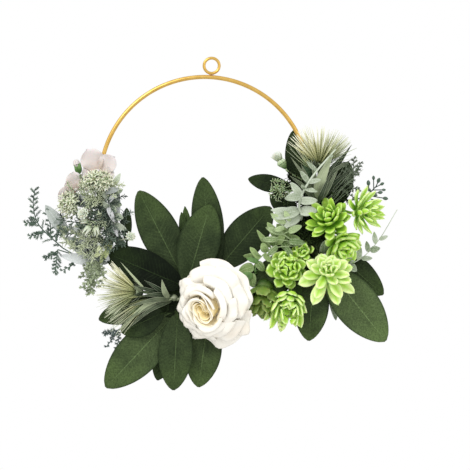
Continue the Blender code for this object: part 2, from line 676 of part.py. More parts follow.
# Needled sprigs: seat, spine, first spine point with needles, their length and pairs, needle width, then
# side twigs as (place along the spine, middle, tip, needle length, pairs)
SPRIGS = {
    "cedar_frond_upper": (
        (211, 20),
        ((-112, -6, -73), (-140, -6, -90), (-166, -6, -78), (-193, -8, -52), (-200, -8, -29), (-198, -9, -9)),
        2, 8, 6, 0,
        (
            (0.63, (-200, -8, -47), (-209, -8, -50), 5, 2), (0.56, (-194, -7, -62), (-203, -7, -65), 6, 2),
            (0.5, (-180, -8, -52), (-186, -8, -34), 7, 3),
        ),
        (0.1, 0.17, 0.12),
    ),
    "cedar_frond_lower": (
        (216, 0),
        ((-110, -2, -90), (-133, -2, -97), (-154, -3, -86), (-172, -3, -80), (-175, -5, -108)), 3, 7, 4, 0,
        (
            (0.78, (-179, -3, -86), (-187, -3, -90), 5, 2), (0.52, (-154, -3, -97), (-168, -4, -105), 6, 3),
        ),
        (0.12, 0.2, 0.12),
    ),
    "frosted_sprig": (
        (219, 60), ((-108, -10, -87), (-122, -11, -94), (-131, -12, -111), (-133, -12, -133)), 1, 8, 5, 0,
        ((0.5, (-136, -11, -101), (-143, -11, -112), 5, 3),),
        (0.25, 0.34, 0.25),
    ),
    "grey_sprig_left": (
        (240.5, 20),
        ((-63, -10, -136), (-84, -10.5, -162), (-101, -10, -174), (-117, -8, -178)), 2, 6, 3, 0,
        (
            (0.78, (-107, -9, -183), (-115, -9, -194), 5, 2), (0.7, (-100, -10, -183), (-103, -10, -195), 5, 2),
        ),
        (0.2, 0.24, 0.27),
    ),
    "feathery_sprig": (
        (369, 15), ((133, -2, -3), (152, -3, -3), (172, -4, 5), (175, -4, 28)), 1, 7, 4, 0,
        ((0.7, (179, -4.5, 12), (183, -5, 22), 6, 2), (0.55, (172, -4, -7), (182, -4, -10), 6, 2)),
        (0.25, 0.33, 0.27),
    ),
    "needle_spray_left": (
        (199, 50), ((-118, -9, -40), (-126, -10, -43), (-145, -10, -54), (-168, -9, -59)), 1, 11, 4, 1.6,
        ((0.16, (-140, -9, -35), (-161, -8, -44), 10, 3), (0.1, (-124, -10, -64), (-143, -9, -76), 11, 3)),
        (0.2, 0.29, 0.2),
    ),
}


def make_sprig(name, place_on_tape, spine, first, length, pairs, needle_width, twigs, colour):
    arc, turn = place_on_tape
    start, way = seat(arc, turn)
    pieces = [stem([start, start + way * 4, *spine[:first + 1]], 1.0, 5, 0.8)]
    pieces.append(comb(spine[first:], length, pairs, needle_width))
    for t, middle, tip, side_length, side_pairs in twigs:
        foot = route(spine, t)
        back = foot + (foot - Vector(middle)).normalized() * 0.5
        pieces.append(comb([back, middle, tip], side_length, side_pairs, needle_width))
    fuse(name, pieces, material(name, colour, 0.65))


# Clusters of small florets: centre, radius, floret count, floret size, seat, colour
CLUSTERS = {
    "floret_cluster_top": ((-124, -24, -1), (15, 8, 9), 16, 7.5, (180, 90), (0.72, 0.74, 0.55)),
    "floret_cluster_side": ((-157, -18, -28), (8, 6, 9), 10, 6.5, (189, 50), (0.72, 0.72, 0.55)),
    "umbel_right": ((88, -10, -8), (7, 5, 8), 10, 6.0, (354, 150), (0.45, 0.52, 0.3)),
}


def make_cluster(name, centre, radii, count, size, place_on_tape, colour):
    """A domed head of florets: small four-sided cups over the front of a core."""
    centre = Vector(centre)
    pieces = [ellipsoid(centre, radii, sides=5, rings=3)]
    for i in range(count):
        y = 1 - 1.4 * (i + 0.5) / count
        angle = i * GOLDEN_ANGLE
        ring = math.sqrt(1 - y * y)
        way = Vector((ring * math.cos(angle), -y, ring * math.sin(angle)))
        spot = centre + Vector((way.x * radii[0], way.y * radii[1], way.z * radii[2]))
        pieces.append(spindle(spot - way * size * 0.6, spot + way * size * 0.5, size, size,
                              facing=(0.3, 0.2, 0.9), rings=2, peak=1.6))
    arc, turn = place_on_tape
    pieces.append(seated_stem(arc, turn, centre, (0, -1, 0), 1.2, 4))
    fuse(name, pieces, material(name, colour, 0.7))


# White blossoms: centre, petals as (tip, width), seat
BLOSSOMS = {
    "blossom_top": ((-124, -12, 12), (
        ((-138, -16, 35), 27), ((-107, -16, 27), 23), ((-145, -14, 11), 20), ((-105, -13, 6), 16),
    ), (172, 75)),
    "blossom_side": ((-150, -8, -10), (
        ((-153, -12, 9), 20), ((-171, -10, -20), 17), ((-161, -7, -3), 15),
    ), (184, 20)),
}


def make_blossom(name, centre, petals, place_on_tape):
    centre = Vector(centre)
    pieces = [ellipsoid(centre, (3, 2.5, 3), sides=5, rings=3)]
    for tip, width in petals:
        pieces.append(plate(centre, tip, width, corners=6, cup=0.12))
    arc, turn = place_on_tape
    pieces.append(seated_stem(arc, turn, centre, (0, -1, 0), 1.2))
    fuse(name, pieces, material(name, (0.87, 0.82, 0.8), 0.6))


# Single small heads: base, tip, width, seat, colour
HEADS = {
    "blossom_bud": ((-147, -6, 11), (-151, -7, 26), 9, (176, 10), (0.75, 0.78, 0.6)),
    "button_flower_1": ((-138, -26, -40), (-142, -35, -36), 14, (195, 95), (0.78, 0.83, 0.68)),
    "button_flower_2": ((-87, -19, -66), (-84, -27, -63), 12, (214, 90), (0.7, 0.76, 0.62)),
    "thistle_right": ((95, -9, 15), (81, -10, 34), 13, (361, 150), (0.75, 0.77, 0.6)),
}


def make_head(name, base, tip, width, place_on_tape, colour):
    base, tip = Vector(base), Vector(tip)
    axis = (tip - base).normalized()
    facing = UP if abs(axis.z) < 0.8 else FRONT
    pieces = [spindle(base, tip, width, width, facing=facing, sides=6, rings=4, peak=1.3)]
    frame = axis_matrix(base, axis)
    for sepal in range(3):
        angle = math.pi / 4 + 2 * math.pi * sepal / 3
        out = frame @ Vector((math.cos(angle), math.sin(angle), 0.9)) - frame.translation
        foot = base + axis * 0.5
        end = foot + out * width * 0.5
        pieces.append(spindle(foot, end, width * 0.35, 1.2, facing=axis, sides=4, rings=3))
    arc, turn = place_on_tape
    pieces.append(seated_stem(arc, turn, base + axis * 1.5, axis, 1.1))
    fuse(name, pieces, material(name, colour, 0.7))


# Seeded and petalled sprigs: seat, spine, then seeds as (place along the spine, centre, radius)
SEEDS = {
    "seed_sprig_right": ((356, 350), ((142, 0, -17), (172, 0, -22), (191, -1, -15), (201, -2, -6)), (
        (0.72, (192, -3, -2), 3.2), (1.0, (204, -2, 1), 3.0),
        (0.66, (206, -2, -13), 2.4), (0.62, (212, -1, -20), 2.8), (0.55, (203, -1, -23), 2.4),
    ), (0.2, 0.27, 0.22)),
    "tulip_florets": ((206, 85), ((-116, -15, -52), (-123, -21, -48), (-128, -25, -47)), (
        (1.0, (-133, -27, -57), 3.4), (0.9, (-125, -27, -58), 3.0), (1.0, (-136, -26, -45), 3.0),
    ), (0.78, 0.8, 0.72)),
}


def make_seeds(name, place_on_tape, spine, seeds, colour):
    arc, turn = place_on_tape
    start, way = seat(arc, turn)
    pieces = [stem([start, start + way * 4, *spine], 1.0, 6, 0.7)]
    for t, centre, radius in seeds:
        foot, centre = route(spine, t), Vector(centre)
        axis = (centre - foot).normalized()
        pieces.append(stem([foot - axis * 0.5, centre], TWIG_RADIUS, 1))
        pieces.append(ellipsoid(centre, (radius, radius, radius * 1.5), axis, 5, 3))
    fuse(name, pieces, material(name, colour, 0.65))


clear_scene()
wreath = bpy.data.collections.new("floral_hoop_wreath")
bpy.context.scene.collection.children.link(wreath)
make_hoop()
make_eye()
for tape_name, (first, last) in TAPES.items():
    make_tape(tape_name, first, last)
for leaf_name, leaf in LEAVES.items():
    make_leaf(leaf_name, *leaf)
make_rose()
make_rose_calyx()
for protea_name, (*head, protea_seat) in PROTEAS.items():
    bracts_foot = Vector(BRACTS[protea_name][0][0])
    make_protea_head(protea_name, *head, bracts_foot)
    make_bracts(protea_name, BRACTS[protea_name], bracts_foot, Vector(head[0]), protea_seat)
for succulent_name, succulent in SUCCULENTS.items():
    make_succulent(succulent_name, *succulent)
for spray_name, spray in SPRAYS.items():
    make_spray(spray_name, *spray)
for sprig_name, sprig in SPRIGS.items():
    make_sprig(sprig_name, *sprig)
for cluster_name, cluster in CLUSTERS.items():
    make_cluster(cluster_name, *cluster)
for blossom_name, blossom in BLOSSOMS.items():
    make_blossom(blossom_name, *blossom)
for head_name, head in HEADS.items():
    make_head(head_name, *head)
for seeds_name, seeds in SEEDS.items():
    make_seeds(seeds_name, *seeds)
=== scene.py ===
import math

import bpy
import numpy as np
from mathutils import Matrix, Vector


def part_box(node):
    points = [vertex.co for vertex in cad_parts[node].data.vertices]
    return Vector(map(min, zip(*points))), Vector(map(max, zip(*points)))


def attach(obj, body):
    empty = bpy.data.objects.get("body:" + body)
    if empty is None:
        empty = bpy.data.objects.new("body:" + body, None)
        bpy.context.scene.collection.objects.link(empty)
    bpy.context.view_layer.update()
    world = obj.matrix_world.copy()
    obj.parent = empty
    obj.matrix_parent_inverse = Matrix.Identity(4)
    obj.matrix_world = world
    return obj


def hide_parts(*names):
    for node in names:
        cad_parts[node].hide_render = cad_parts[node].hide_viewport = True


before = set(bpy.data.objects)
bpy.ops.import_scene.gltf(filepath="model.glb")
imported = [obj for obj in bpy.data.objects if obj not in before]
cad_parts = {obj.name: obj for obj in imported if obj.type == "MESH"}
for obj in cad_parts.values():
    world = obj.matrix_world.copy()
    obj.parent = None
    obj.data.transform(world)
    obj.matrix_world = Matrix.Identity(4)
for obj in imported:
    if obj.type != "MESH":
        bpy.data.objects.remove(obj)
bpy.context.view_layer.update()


# ---------------------------------------------------------------- Hoop and hanging eye
# A ring of drawn steel wire, plated in warm satin gold, with a small ring of thinner wire brazed to its top
# by a short bead. Everything else on the wreath is bound to this hoop. Places in all the tables are in
# millimetres from its centre, as (x, y, z), and the wreath faces -Y.
MM = 0.001
FRONT = np.array([0.0, -1.0, 0.0])
OBLIQUE = np.array([0.37, 0.23, 0.9])
HUB = np.mean(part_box("hoop"), axis=0)
WIRE_RADIUS = 2.5
HOOP_RADIUS = (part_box("hoop")[1][0] - HUB[0]) / MM - WIRE_RADIUS
EYE_RADIUS = 8.9
EYE_WIRE_RADIUS = 1.75
EYE_LEAN = math.radians(3.5)
BRAZE_GAP = 0.3
EYE_OUT = HOOP_RADIUS + WIRE_RADIUS + BRAZE_GAP + EYE_WIRE_RADIUS + EYE_RADIUS
BEAD_RADIUS = 1.4
BEAD_LENGTH = 7.0


class Amount:
    """A number that varies over a surface: a socket on which + - * and abs write Math nodes."""

    def __init__(self, finish, socket):
        self.finish = finish
        self.socket = socket

    def __add__(self, other):
        return self.finish.sum_of("ADD", self, other)

    def __sub__(self, other):
        return self.finish.sum_of("SUBTRACT", self, other)

    def __rsub__(self, other):
        return self.finish.sum_of("SUBTRACT", other, self)

    def __mul__(self, other):
        return self.finish.sum_of("MULTIPLY", self, other)

    def __abs__(self):
        return self.finish.sum_of("ABSOLUTE", self)

    __radd__ = __add__
    __rmul__ = __mul__


class Finish:
    """A material: the constants of its surface set on the shader, and nodes for what varies over it."""

    def __init__(self, name, **constants):
        self.material = bpy.data.materials.new(name)
        self.material.use_nodes = True
        self.tree = self.material.node_tree
        self.shader = self.tree.nodes["Principled BSDF"]
        for socket, value in constants.items():
            self.shader.inputs[socket.replace("_", " ")].default_value = value

    def feed(self, socket, value):
        """Links a socket to an amount or to another socket, or sets it."""
        if isinstance(value, Amount):
            value = value.socket
        if isinstance(value, bpy.types.NodeSocket):
            self.tree.links.new(value, socket)
        elif hasattr(socket.default_value, "__len__") and len(value) == 3 and len(socket.default_value) == 4:
            socket.default_value = (*value, 1.0)
        else:
            socket.default_value = value

    def node(self, kind, settings=None, values=None):
        """A node of a kind, its settings made first, then its sockets fed by name or number."""
        made = self.tree.nodes.new("ShaderNode" + kind)
        for name, setting in (settings or {}).items():
            if name == "stops":
                ramp = made.color_ramp
                while len(ramp.elements) < len(setting):
                    ramp.elements.new(0.5)
                for element, (place_on_ramp, colour) in zip(ramp.elements, setting):
                    element.position = place_on_ramp
                    element.color = (*colour, 1.0)
            else:
                setattr(made, name, setting)
        for key, value in (values or {}).items():
            self.feed(made.inputs[key], value)
        return made

    def sum_of(self, operation, first, second=0.0):
        """A Math node's result for one or two amounts."""
        return Amount(self, self.node("Math", {"operation": operation}, {0: first, 1: second}).outputs[0])

    def between(self, value, low, high):
        """0 below low, 1 above high and smooth between them."""
        settings = {"interpolation_type": "SMOOTHSTEP"}
        values = {"Value": value, "From Min": low, "From Max": high}
        return Amount(self, self.node("MapRange", settings, values).outputs["Result"])

    def noise(self, scale, detail=3.0, roughness=0.55):
        """A cloudy pattern in space, scale in patches to the metre, around 0.5."""
        where = self.node("TexCoord").outputs["Object"]
        values = {"Vector": where, "Scale": scale, "Detail": detail, "Roughness": roughness}
        return Amount(self, self.node("TexNoise", None, values).outputs["Fac"])

    def grain(self):
        """What the mesh carries at each point: across from -1 to 1, along from 0 to 1, and the tone."""
        carried = self.node("Attribute", {"attribute_name": "grain"}).outputs["Vector"]
        split = self.node("SeparateXYZ", None, {0: carried}).outputs
        return [Amount(self, split[axis]) for axis in range(3)]

    def mix(self, share, first, second, blend="MIX"):
        """Two colours mixed by a share. Sockets 6 and 7 of a Mix node are its colours, and 2 its result."""
        made = self.node("Mix", {"data_type": "RGBA", "blend_type": blend})
        self.feed(made.inputs[0], share)
        self.feed(made.inputs[6], first)
        self.feed(made.inputs[7], second)
        return made.outputs[2]

    def ramp(self, value, *stops):
        """The colour at a value between stops, each a place and a colour."""
        return self.node("ValToRGB", {"stops": stops}, {0: value}).outputs["Color"]

    def colour(self, value):
        """What the surface shows as its colour."""
        self.feed(self.shader.inputs["Base Color"], value)

    def roughness(self, value):
        """How dull the surface is, from 0 to 1."""
        self.feed(self.shader.inputs["Roughness"], value)

    def relief(self, height, depth, strength=1.0):
        """Bumps: height from 0 to 1 stands for depth in millimetres."""
        values = {"Height": height, "Distance": depth * MM, "Strength": strength}
        self.feed(self.shader.inputs["Normal"], self.node("Bump", None, values).outputs["Normal"])


def unit(vectors):
    """Each vector over its own length."""
    return vectors / np.maximum(np.linalg.norm(vectors, axis=-1, keepdims=True), 1e-12)


def joined(*parts):
    """Arrays brought to one shape and joined along a new last axis, as the x, y and z of points are."""
    return np.stack(np.broadcast_arrays(*parts), axis=-1)


def full_turn(count):
    """Angles at even steps round a circle."""
    return np.linspace(0, 2 * np.pi, count, endpoint=False)


def skin_faces(rows, columns, closing):
    """Four-sided faces between neighbouring rows and columns, with the columns joined round. A ring joins its
    last row to its first. A wall is closed at each end by rungs from one side of it to the other, and a pipe
    by a fan of triangles to a pole."""
    column = np.arange(columns)
    after = (column + 1) % columns
    row = np.arange(rows if closing == "ring" else rows - 1)[:, None]
    below = (row + 1) % rows
    row, below = row * columns, below * columns
    quads = joined(row + column, row + after, below + after, below + column).reshape(-1, 4)
    end = (rows - 1) * columns
    if closing == "ring":
        return quads, np.zeros((0, 3), int)
    if closing == "wall":
        half = columns // 2
        k = np.arange(1, half - 1)
        rungs = np.stack([k, k + 1, columns - k - 1, columns - k], axis=-1)
        edges = np.array([[0, 1, columns - 1], [half - 1, half, half + 1]])
        quads = np.concatenate([quads, rungs[:, ::-1], rungs + end])
        return quads, np.concatenate([edges[:, ::-1], edges + end])
    pole = np.full(columns, rows * columns)
    start_fan = np.stack([after, column, pole], axis=-1)
    end_fan = np.stack([end + column, end + after, pole + 1], axis=-1)
    return quads, np.concatenate([start_fan, end_fan])


def piece_of(name, skins, finish, nodes):
    """One mesh from closed skins, each an array of copies x rows x columns of points in millimetres, the
    grain it carries and how it closes. Faces are turned round on a copy whose enclosed volume comes out
    negative."""
    corners, grains, loops, sizes = [], [], [], []
    start = 0
    for points, grain, closing in skins:
        rows, columns = points.shape[-3:-1]
        points = points.reshape(-1, rows, columns, 3)
        grain = np.broadcast_to(grain, points.shape)
        quads, fans = skin_faces(rows, columns, closing)
        block = points.reshape(len(points), -1, 3)
        carried = grain.reshape(len(points), -1, 3)
        if closing == "pole":
            block = np.concatenate([block, points[:, [0, -1]].mean(axis=2)], axis=1)
            carried = np.concatenate([carried, grain[:, [0, -1]].mean(axis=2)], axis=1)
        thirds = np.concatenate([quads[:, [0, 1, 2]], quads[:, [0, 2, 3]], fans])
        a, b, c = (block[:, thirds[:, k]] - block[:, :1] for k in range(3))
        outward = np.einsum("nfk,nfk->n", a, np.cross(b, c)) > 0
        shift = (start + np.arange(len(block)) * block.shape[1])[:, None, None]
        for faces in (quads, fans):
            numbered = np.where(outward[:, None, None], faces, faces[:, ::-1]) + shift
            loops.append(numbered.ravel())
            sizes.append(np.full(numbered.shape[0] * numbered.shape[1], faces.shape[1]))
        corners.append(block.reshape(-1, 3))
        grains.append(carried.reshape(-1, 3))
        start += len(corners[-1])
    corners, grains = np.concatenate(corners), np.concatenate(grains)
    loops, sizes = np.concatenate(loops), np.concatenate(sizes)
    mesh = bpy.data.meshes.new(name)
    mesh.vertices.add(len(corners))
    mesh.vertices.foreach_set("co", (corners * MM + HUB).astype(np.float32).ravel())
    mesh.loops.add(len(loops))
    mesh.loops.foreach_set("vertex_index", loops.astype(np.int32))
    mesh.polygons.add(len(sizes))
    mesh.polygons.foreach_set("loop_start", (np.cumsum(sizes) - sizes).astype(np.int32))
    mesh.polygons.foreach_set("use_smooth", np.ones(len(sizes), bool))
    mesh.update(calc_edges=True)
    carried = mesh.attributes.new("grain", "FLOAT_VECTOR", "POINT")
    carried.data.foreach_set("vector", grains.astype(np.float32).ravel())
    mesh.materials.append(finish.material)
    piece = bpy.data.objects.new(name, mesh)
    bpy.context.scene.collection.objects.link(piece)
    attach(piece, "root")
    if nodes:
        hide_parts(*nodes)
    return piece


def wire_ring(centre, radius, wire, rows, columns):
    """A torus in the wreath's plane: a circle of the wire's radius carried round a circle of the ring's."""
    round_ring, round_wire = full_turn(rows)[:, None], full_turn(columns)
    reach = radius + wire * np.cos(round_wire)
    points = joined(reach * np.cos(round_ring), wire * np.sin(round_wire), reach * np.sin(round_ring))
    return points + centre, joined(np.cos(round_wire), round_ring / (2 * np.pi), 0.5), "ring"


gold = Finish("satin_gold_plate", Metallic=1.0)
worn = gold.noise(140, 4)
gold.colour(gold.ramp(worn, (0.3, (0.6, 0.37, 0.085)), (0.7, (0.7, 0.46, 0.13))))
gold.roughness(0.26 + gold.noise(900, 4) * 0.14)
gold.relief(gold.noise(900, 3), 0.015)
hoop_skin = wire_ring((0, 0, 0), HOOP_RADIUS, WIRE_RADIUS, 240, 20)
piece_of("hoop_wire", [hoop_skin], gold, ["hoop"])
eye_way = np.array([math.sin(EYE_LEAN), 0, math.cos(EYE_LEAN)])
eye_skin = wire_ring(eye_way * EYE_OUT, EYE_RADIUS, EYE_WIRE_RADIUS, 64, 16)
piece_of("eye_wire", [eye_skin], gold, ["hanging_eye"])


def spread(points, t):
    """A smooth curve through all the points, at each t from 0 to 1: a Catmull-Rom spline, whose slope at each
    point is half the step between its neighbours."""
    points = np.asarray(points, float)
    before = 2 * points[..., :1, :] - points[..., 1:2, :]
    behind = 2 * points[..., -1:, :] - points[..., -2:-1, :]
    points = np.concatenate([before, points, behind], axis=-2)
    spans = points.shape[-2] - 3
    span = np.minimum((t * spans).astype(int), spans - 1)
    s = (t * spans - span)[:, None]
    a, b, c, d = (points[..., span + k, :] for k in range(4))
    return (2 * b + (c - a) * s + (2 * a - 5 * b + 4 * c - d) * s**2 + (3 * b - a - 3 * c + d) * s**3) / 2


def curve_frame(points, t, facing=FRONT):
    """Place, tangent, side and normal along a curve, the tangent over a hundredth of it to each side and the
    normal as near to facing as the tangent lets it."""
    ahead, behind = spread(points, np.clip(t + 0.01, 0, 1)), spread(points, np.clip(t - 0.01, 0, 1))
    tangent = unit(ahead - behind)
    facing = np.asarray(facing, float)
    side = unit(np.cross(tangent, facing[..., None, :]))
    return spread(points, t), tangent, side, np.cross(side, tangent)


def around(sideways, upwards, angle):
    """Directions at angles round an axis, from sideways towards upwards."""
    return sideways * np.cos(angle)[..., None] + upwards * np.sin(angle)[..., None]


def bulb(foot, start=0.0, length=1.0, power=1.0):
    """A profile that swells from a share at the foot to full and back: a power of the sine over a part of a
    half turn, given by its start and length."""
    return lambda t: foot + (1 - foot) * np.sin(np.pi * (start + length * t)) ** power


def pipe(points, radius, rows=10, columns=8, profile=np.ones_like, tone=0.5):
    """A circle carried along a smooth curve, its radius times a profile of the place along."""
    t = np.linspace(0, 1, rows)
    here, _, side, normal = curve_frame(points, t, OBLIQUE)
    turn = full_turn(columns)
    ring = around(side[..., None, :], normal[..., None, :], turn)
    reach = np.asarray(radius, float)[..., None, None, None] * profile(t)[:, None, None]
    grain = joined(np.cos(turn), t[:, None], np.asarray(tone, float)[..., None, None])
    return here[..., None, :] + ring * reach, grain, "pole"


bead_middle = eye_way * (HOOP_RADIUS + WIRE_RADIUS + BRAZE_GAP + BEAD_RADIUS)
bead_half = np.array([eye_way[2], 0, -eye_way[0]]) * BEAD_LENGTH / 2
bead_path = [bead_middle - bead_half, bead_middle, bead_middle + bead_half]
bead_skin = pipe(bead_path, BEAD_RADIUS + BRAZE_GAP, 12, 12, bulb(0.35, power=0.5))
piece_of("eye_bead", [bead_skin], gold, ["hanging_eye"])


# ---------------------------------------------------------------- Floral tape
# Waxed crepe paper tape, stretched and wound in a slant round the wire and the feet of the stems. Its turns
# overlap by half and stand as low ridges, and it is pressed down to the wire at each end.
TAPE_RADIUS = 5.5
TAPES = {"tape_left": (165, 225), "tape_centre": (240, 292.5), "tape_right": (300, 375)}
TAPE_PITCH = 4.2
TAPE_LAYER = 0.2
TAPE_RIDGE = 0.55
TAPE_SINK = 0.7
TAPE_END = 2.5


def wound_tape(first, last):
    """A circle carried along an arc of the hoop, its radius ridged by a saw tooth that climbs one pitch for
    each turn, and drawn down to the wire over the last degrees at both ends."""
    degrees = np.linspace(first, last, round((last - first) * 3))[:, None]
    arc = np.radians(degrees)
    turn = full_turn(28)
    travelled = arc * HOOP_RADIUS / TAPE_PITCH + turn / (2 * np.pi)
    ridge = TAPE_RIDGE * (travelled % 1.0) ** 0.6
    pressed = np.clip(np.minimum(degrees - first, last - degrees) / TAPE_END, 0, 1) ** 0.5
    body = WIRE_RADIUS + TAPE_LAYER + (TAPE_RADIUS - WIRE_RADIUS - TAPE_SINK + ridge) * pressed
    reach = HOOP_RADIUS + body * np.cos(turn)
    points = joined(reach * np.cos(arc), -body * np.sin(turn), reach * np.sin(arc))
    return points, joined(np.cos(turn), travelled, 0.5), "pole"


crepe = Finish("waxed_crepe_tape", Roughness=0.75)
crinkle = crepe.noise(1500, 4)
crepe.colour(crepe.ramp(crinkle, (0.3, (0.02, 0.045, 0.018)), (0.7, (0.06, 0.12, 0.045))))
crepe.relief(crinkle, 0.3, 0.6)
for tape_name, (first, last) in TAPES.items():
    piece_of(tape_name + "_wound", [wound_tape(first, last)], crepe, [tape_name])


# ---------------------------------------------------------------- Large leaves
# Magnolia-like leaves, die-cut from satin polyester, heat-pressed with a midrib and side veins, and glued to
# a wire petiole that is taped to the hoop.
PETIOLE_RADIUS = 1.2
STEM_SINK = 0.8
LEAVES = {
    # base, tip, width, seat on the tape (arc, turn), bow to the front, cup, wave, tone from dark to light,
    # which also paints each leaf as lit or as shaded as it hangs
    "leaf_upper_1": ((-24, -8.5, -115), (-77, -10, -11), 44, (255, 130), 3, 0.10, 0.8, 0.45),
    "leaf_upper_2": ((-26, -12, -122), (-116, -14, -83), 43, (249, 90), 3, 0.10, 0.8, -0.3),
    "leaf_upper_3": ((10, -9, -107), (-2, -8, 5), 36, (274, 135), 3, 0.10, 0.8, 0.35),
    "leaf_upper_4": ((-20, -13, -120), (7, -15, -27), 47, (261, 100), 2, 0.10, 0.8, 0.5),
    "leaf_upper_5": ((17, -7, -101), (78, -6, -30), 44, (281, 150), 3, 0.10, 0.8, 0.3),
    "leaf_lower_1": ((-35, -11.5, -156), (-115, -13, -241), 48, (249, 10), 3, 0.10, 0.8, 0.75),
    "leaf_lower_2": ((-31, -15, -155), (-36, -15.5, -244), 39, (260, 30), 3, 0.10, 0.8, 0.5),
    "leaf_lower_3": ((5, -7, -155), (-7, -8, -241), 41, (268, 10), 1, 0.10, 0.8, 0.6),
    "leaf_lower_4": ((-52, -4, -139), (-124, -5, -162), 29, (244, 0), 2, 0.10, 0.4, 0.4),
    "leaf_lower_5": ((-48, -18, -153), (-97, -18, -176), 31, (250.5, 45), 2, 0.10, 0.4, 0.2),
    "leaf_lower_6": ((-35, -8, -160), (-55, -8, -233), 28, (255, 0), 2, 0.10, 0.4, 0.25),
    "leaf_right_1": ((128, -2, -101), (122, -5, -187), 40, (324, 20), 3, 0.10, 0.6, 0.6),
    "leaf_right_2": ((142, -6, -100), (212, -9, -187), 50, (330, 5), 3, 0.10, 0.8, 1.2),
    "leaf_right_3": ((142, 0, -75), (210, 1, -133), 33, (340, 350), 2, 0.10, 0.4, 0.35),
    "leaf_back_1": ((115, 8, -14), (105, 8, 61), 29, (359, 270), 1, 0.05, 0.0, 0.15),
    "leaf_back_2": ((102, 2, -8), (51, 0, 3), 20, (355, 180), 1, 0.08, 0.3, 0.15),
    "leaf_back_3": ((137, 6, -38), (170, 6, 23), 36, (350, 330), 1, 0.05, 0.3, 0.1),
    "leaf_back_4": ((107, 4, -34), (77, 3, -16), 24, (345, 190), 1, 0.05, 0.3, 0.1),
    "leaf_back_5": ((123, 8, -36), (110, 8, -79), 21, (343, 300), 1, 0.05, 0.3, 0.1),
    "leaf_side": ((-91, -6, -71), (-91, -6, -31), 12, (220, 130), 1, 0.10, 0.3, 0.3),
}


def leaf_shape(neck, belly, fullness, fade=2.0):
    """Half-width share of a leaf or petal at t from its foot to its end: neck times (1 - t) to the power of
    fade, plus sin(pi t ** belly) to the power of fullness. A larger belly is widest nearer the end."""
    return lambda t: neck * (1 - t) ** fade + np.sin(np.pi * t**belly) ** fullness


def tapered(loss, power=1.0):
    """A profile that thins from full to 1 - loss, by a power of the place along."""
    return lambda t: 1.0 - loss * t**power


def blade(spine, width, outline, facing=FRONT, cup=0.12, wave=0.0, waves=1.2, phase=0.0):
    """The sheet of a leaf or petal along a spine: u times half the width times the outline to each side, the
    edges raised by cup of their distance from the midrib and waved by a sine along their length."""
    spine = np.asarray(spine, float)
    width, cup, wave, phase = (np.asarray(x, float)[..., None, None] for x in (width, cup, wave, phase))

    def sheet(u, v):
        """The points at u across, from -1 to 1, and v along, from 0 to 1."""
        here, _, side, normal = curve_frame(spine, v, facing)
        out = np.abs(u) * width / 2 * outline(v)[:, None]
        beat = np.sin(2 * np.pi * waves * v[:, None] + phase + np.where(u > 0, 0.8, 0.0))
        lift = cup * out + wave * u * np.abs(u) * beat
        across = side[..., None, :] * (np.sign(u) * out)[..., None]
        return here[..., None, :] + across + normal[..., None, :] * lift[..., None]

    return sheet


def wall(sheet, rows, columns, thickness, swell=np.ones_like, tone=0.5, end=0.996):
    """A closed wall round a sheet(u, v): at each turn round it, the sheet's point at u = cos(turn), moved off
    along the sheet's normal by half the thickness times sin(turn), times a swell of v."""
    v = np.linspace(0, end, rows)
    turn = full_turn(columns)
    u = np.cos(turn)
    step = 0.002
    across = sheet(u + step, v) - sheet(u - step, v)
    along = sheet(u, np.clip(v + step, 0, 1)) - sheet(u, np.clip(v - step, 0, 1))
    normal = unit(np.cross(across, along))
    off = np.asarray(thickness, float)[..., None, None] / 2 * swell(v)[:, None] * np.sin(turn)
    grain = joined(u, v[:, None], np.asarray(tone, float)[..., None, None])
    return sheet(u, v) + normal * off[..., None], grain, "wall"


def seat(arc, turn):
    """A point just clear of a tape and the way out from it: arc in degrees round the hoop, turn in degrees
    round the wire, 0 away from the hoop's centre, 90 to the front, 180 to the centre and 270 to the back."""
    arc, turn = math.radians(arc), math.radians(turn)
    outward = np.array([math.cos(arc), 0, math.sin(arc)])
    way = outward * math.cos(turn) + FRONT * math.sin(turn)
    return outward * HOOP_RADIUS + way * (TAPE_RADIUS - STEM_SINK), way


def stem_path(place_on_tape, end, arrival):
    """Four points from a seat on a tape to a piece's base: out square from the tape, then along arrival."""
    start, way = seat(*place_on_tape)
    end = np.asarray(end, float)
    reach = np.linalg.norm(end - start) * 0.35
    return [start, start + way * reach * 0.5, end - unit(np.asarray(arrival, float)) * reach * 0.7, end]


def veined_leaf(name, deep, fresh, vein_count, gloss):
    """Pressed satin leaf: a thin pale midrib, slanting side veins that fade to the edge, cloudy greens."""
    made = Finish(name, Specular_IOR_Level=0.1)
    across, along, tone = made.grain()
    off = abs(across)
    cloud = made.noise(45, 5)
    fine = made.noise(600, 3)
    slant = along * vein_count - off * 3.4 + cloud * 1.6
    to_vein = abs(made.sum_of("FRACT", slant) - 0.5)
    vein = made.between(to_vein, 0.2, 0.0) * (1.0 - off * 0.6) * made.between(made.noise(90), 0.25, 0.7)
    midrib = made.between(off, 0.045, 0.01)
    body = made.mix(made.between(cloud * 0.8 + tone * 0.5, 0.05, 1.1), deep, fresh)
    tips = np.array(fresh) * (1.35, 1.5, 1.0)
    body = made.mix(made.between(along + cloud * 0.9, 0.8, 1.7) * 0.6, body, tips)
    body = made.mix(vein * 0.27, body, np.array(fresh) * 2.2)
    body = made.mix(midrib * 0.45, body, np.array(fresh) * 2.8)
    body = made.mix(made.between(off, 0.86, 0.99) * 0.5, body, deep)
    body = made.mix(made.between(fine, 0.42, 0.62) * 0.36, body, np.array(deep) * 0.4)
    # Painted light and shade: the tone scales the whole leaf from about 0.3 to 1.9 times. On the large leaves
    # each tone makes its leaf as lit or as shaded as it hangs; on the ferns and back leaves it only varies
    # from leaf to leaf.
    tone_and_painted_light = made.mix(made.between(tone, -0.4, 1.58), (0.3, 0.35, 0.3), (1.9, 1.85, 2.0))
    made.colour(made.mix(1.0, body, tone_and_painted_light, "MULTIPLY"))
    made.roughness(gloss + fine * 0.25)
    made.relief(vein * 0.5 + midrib + fine * 0.25, 0.45)
    return made


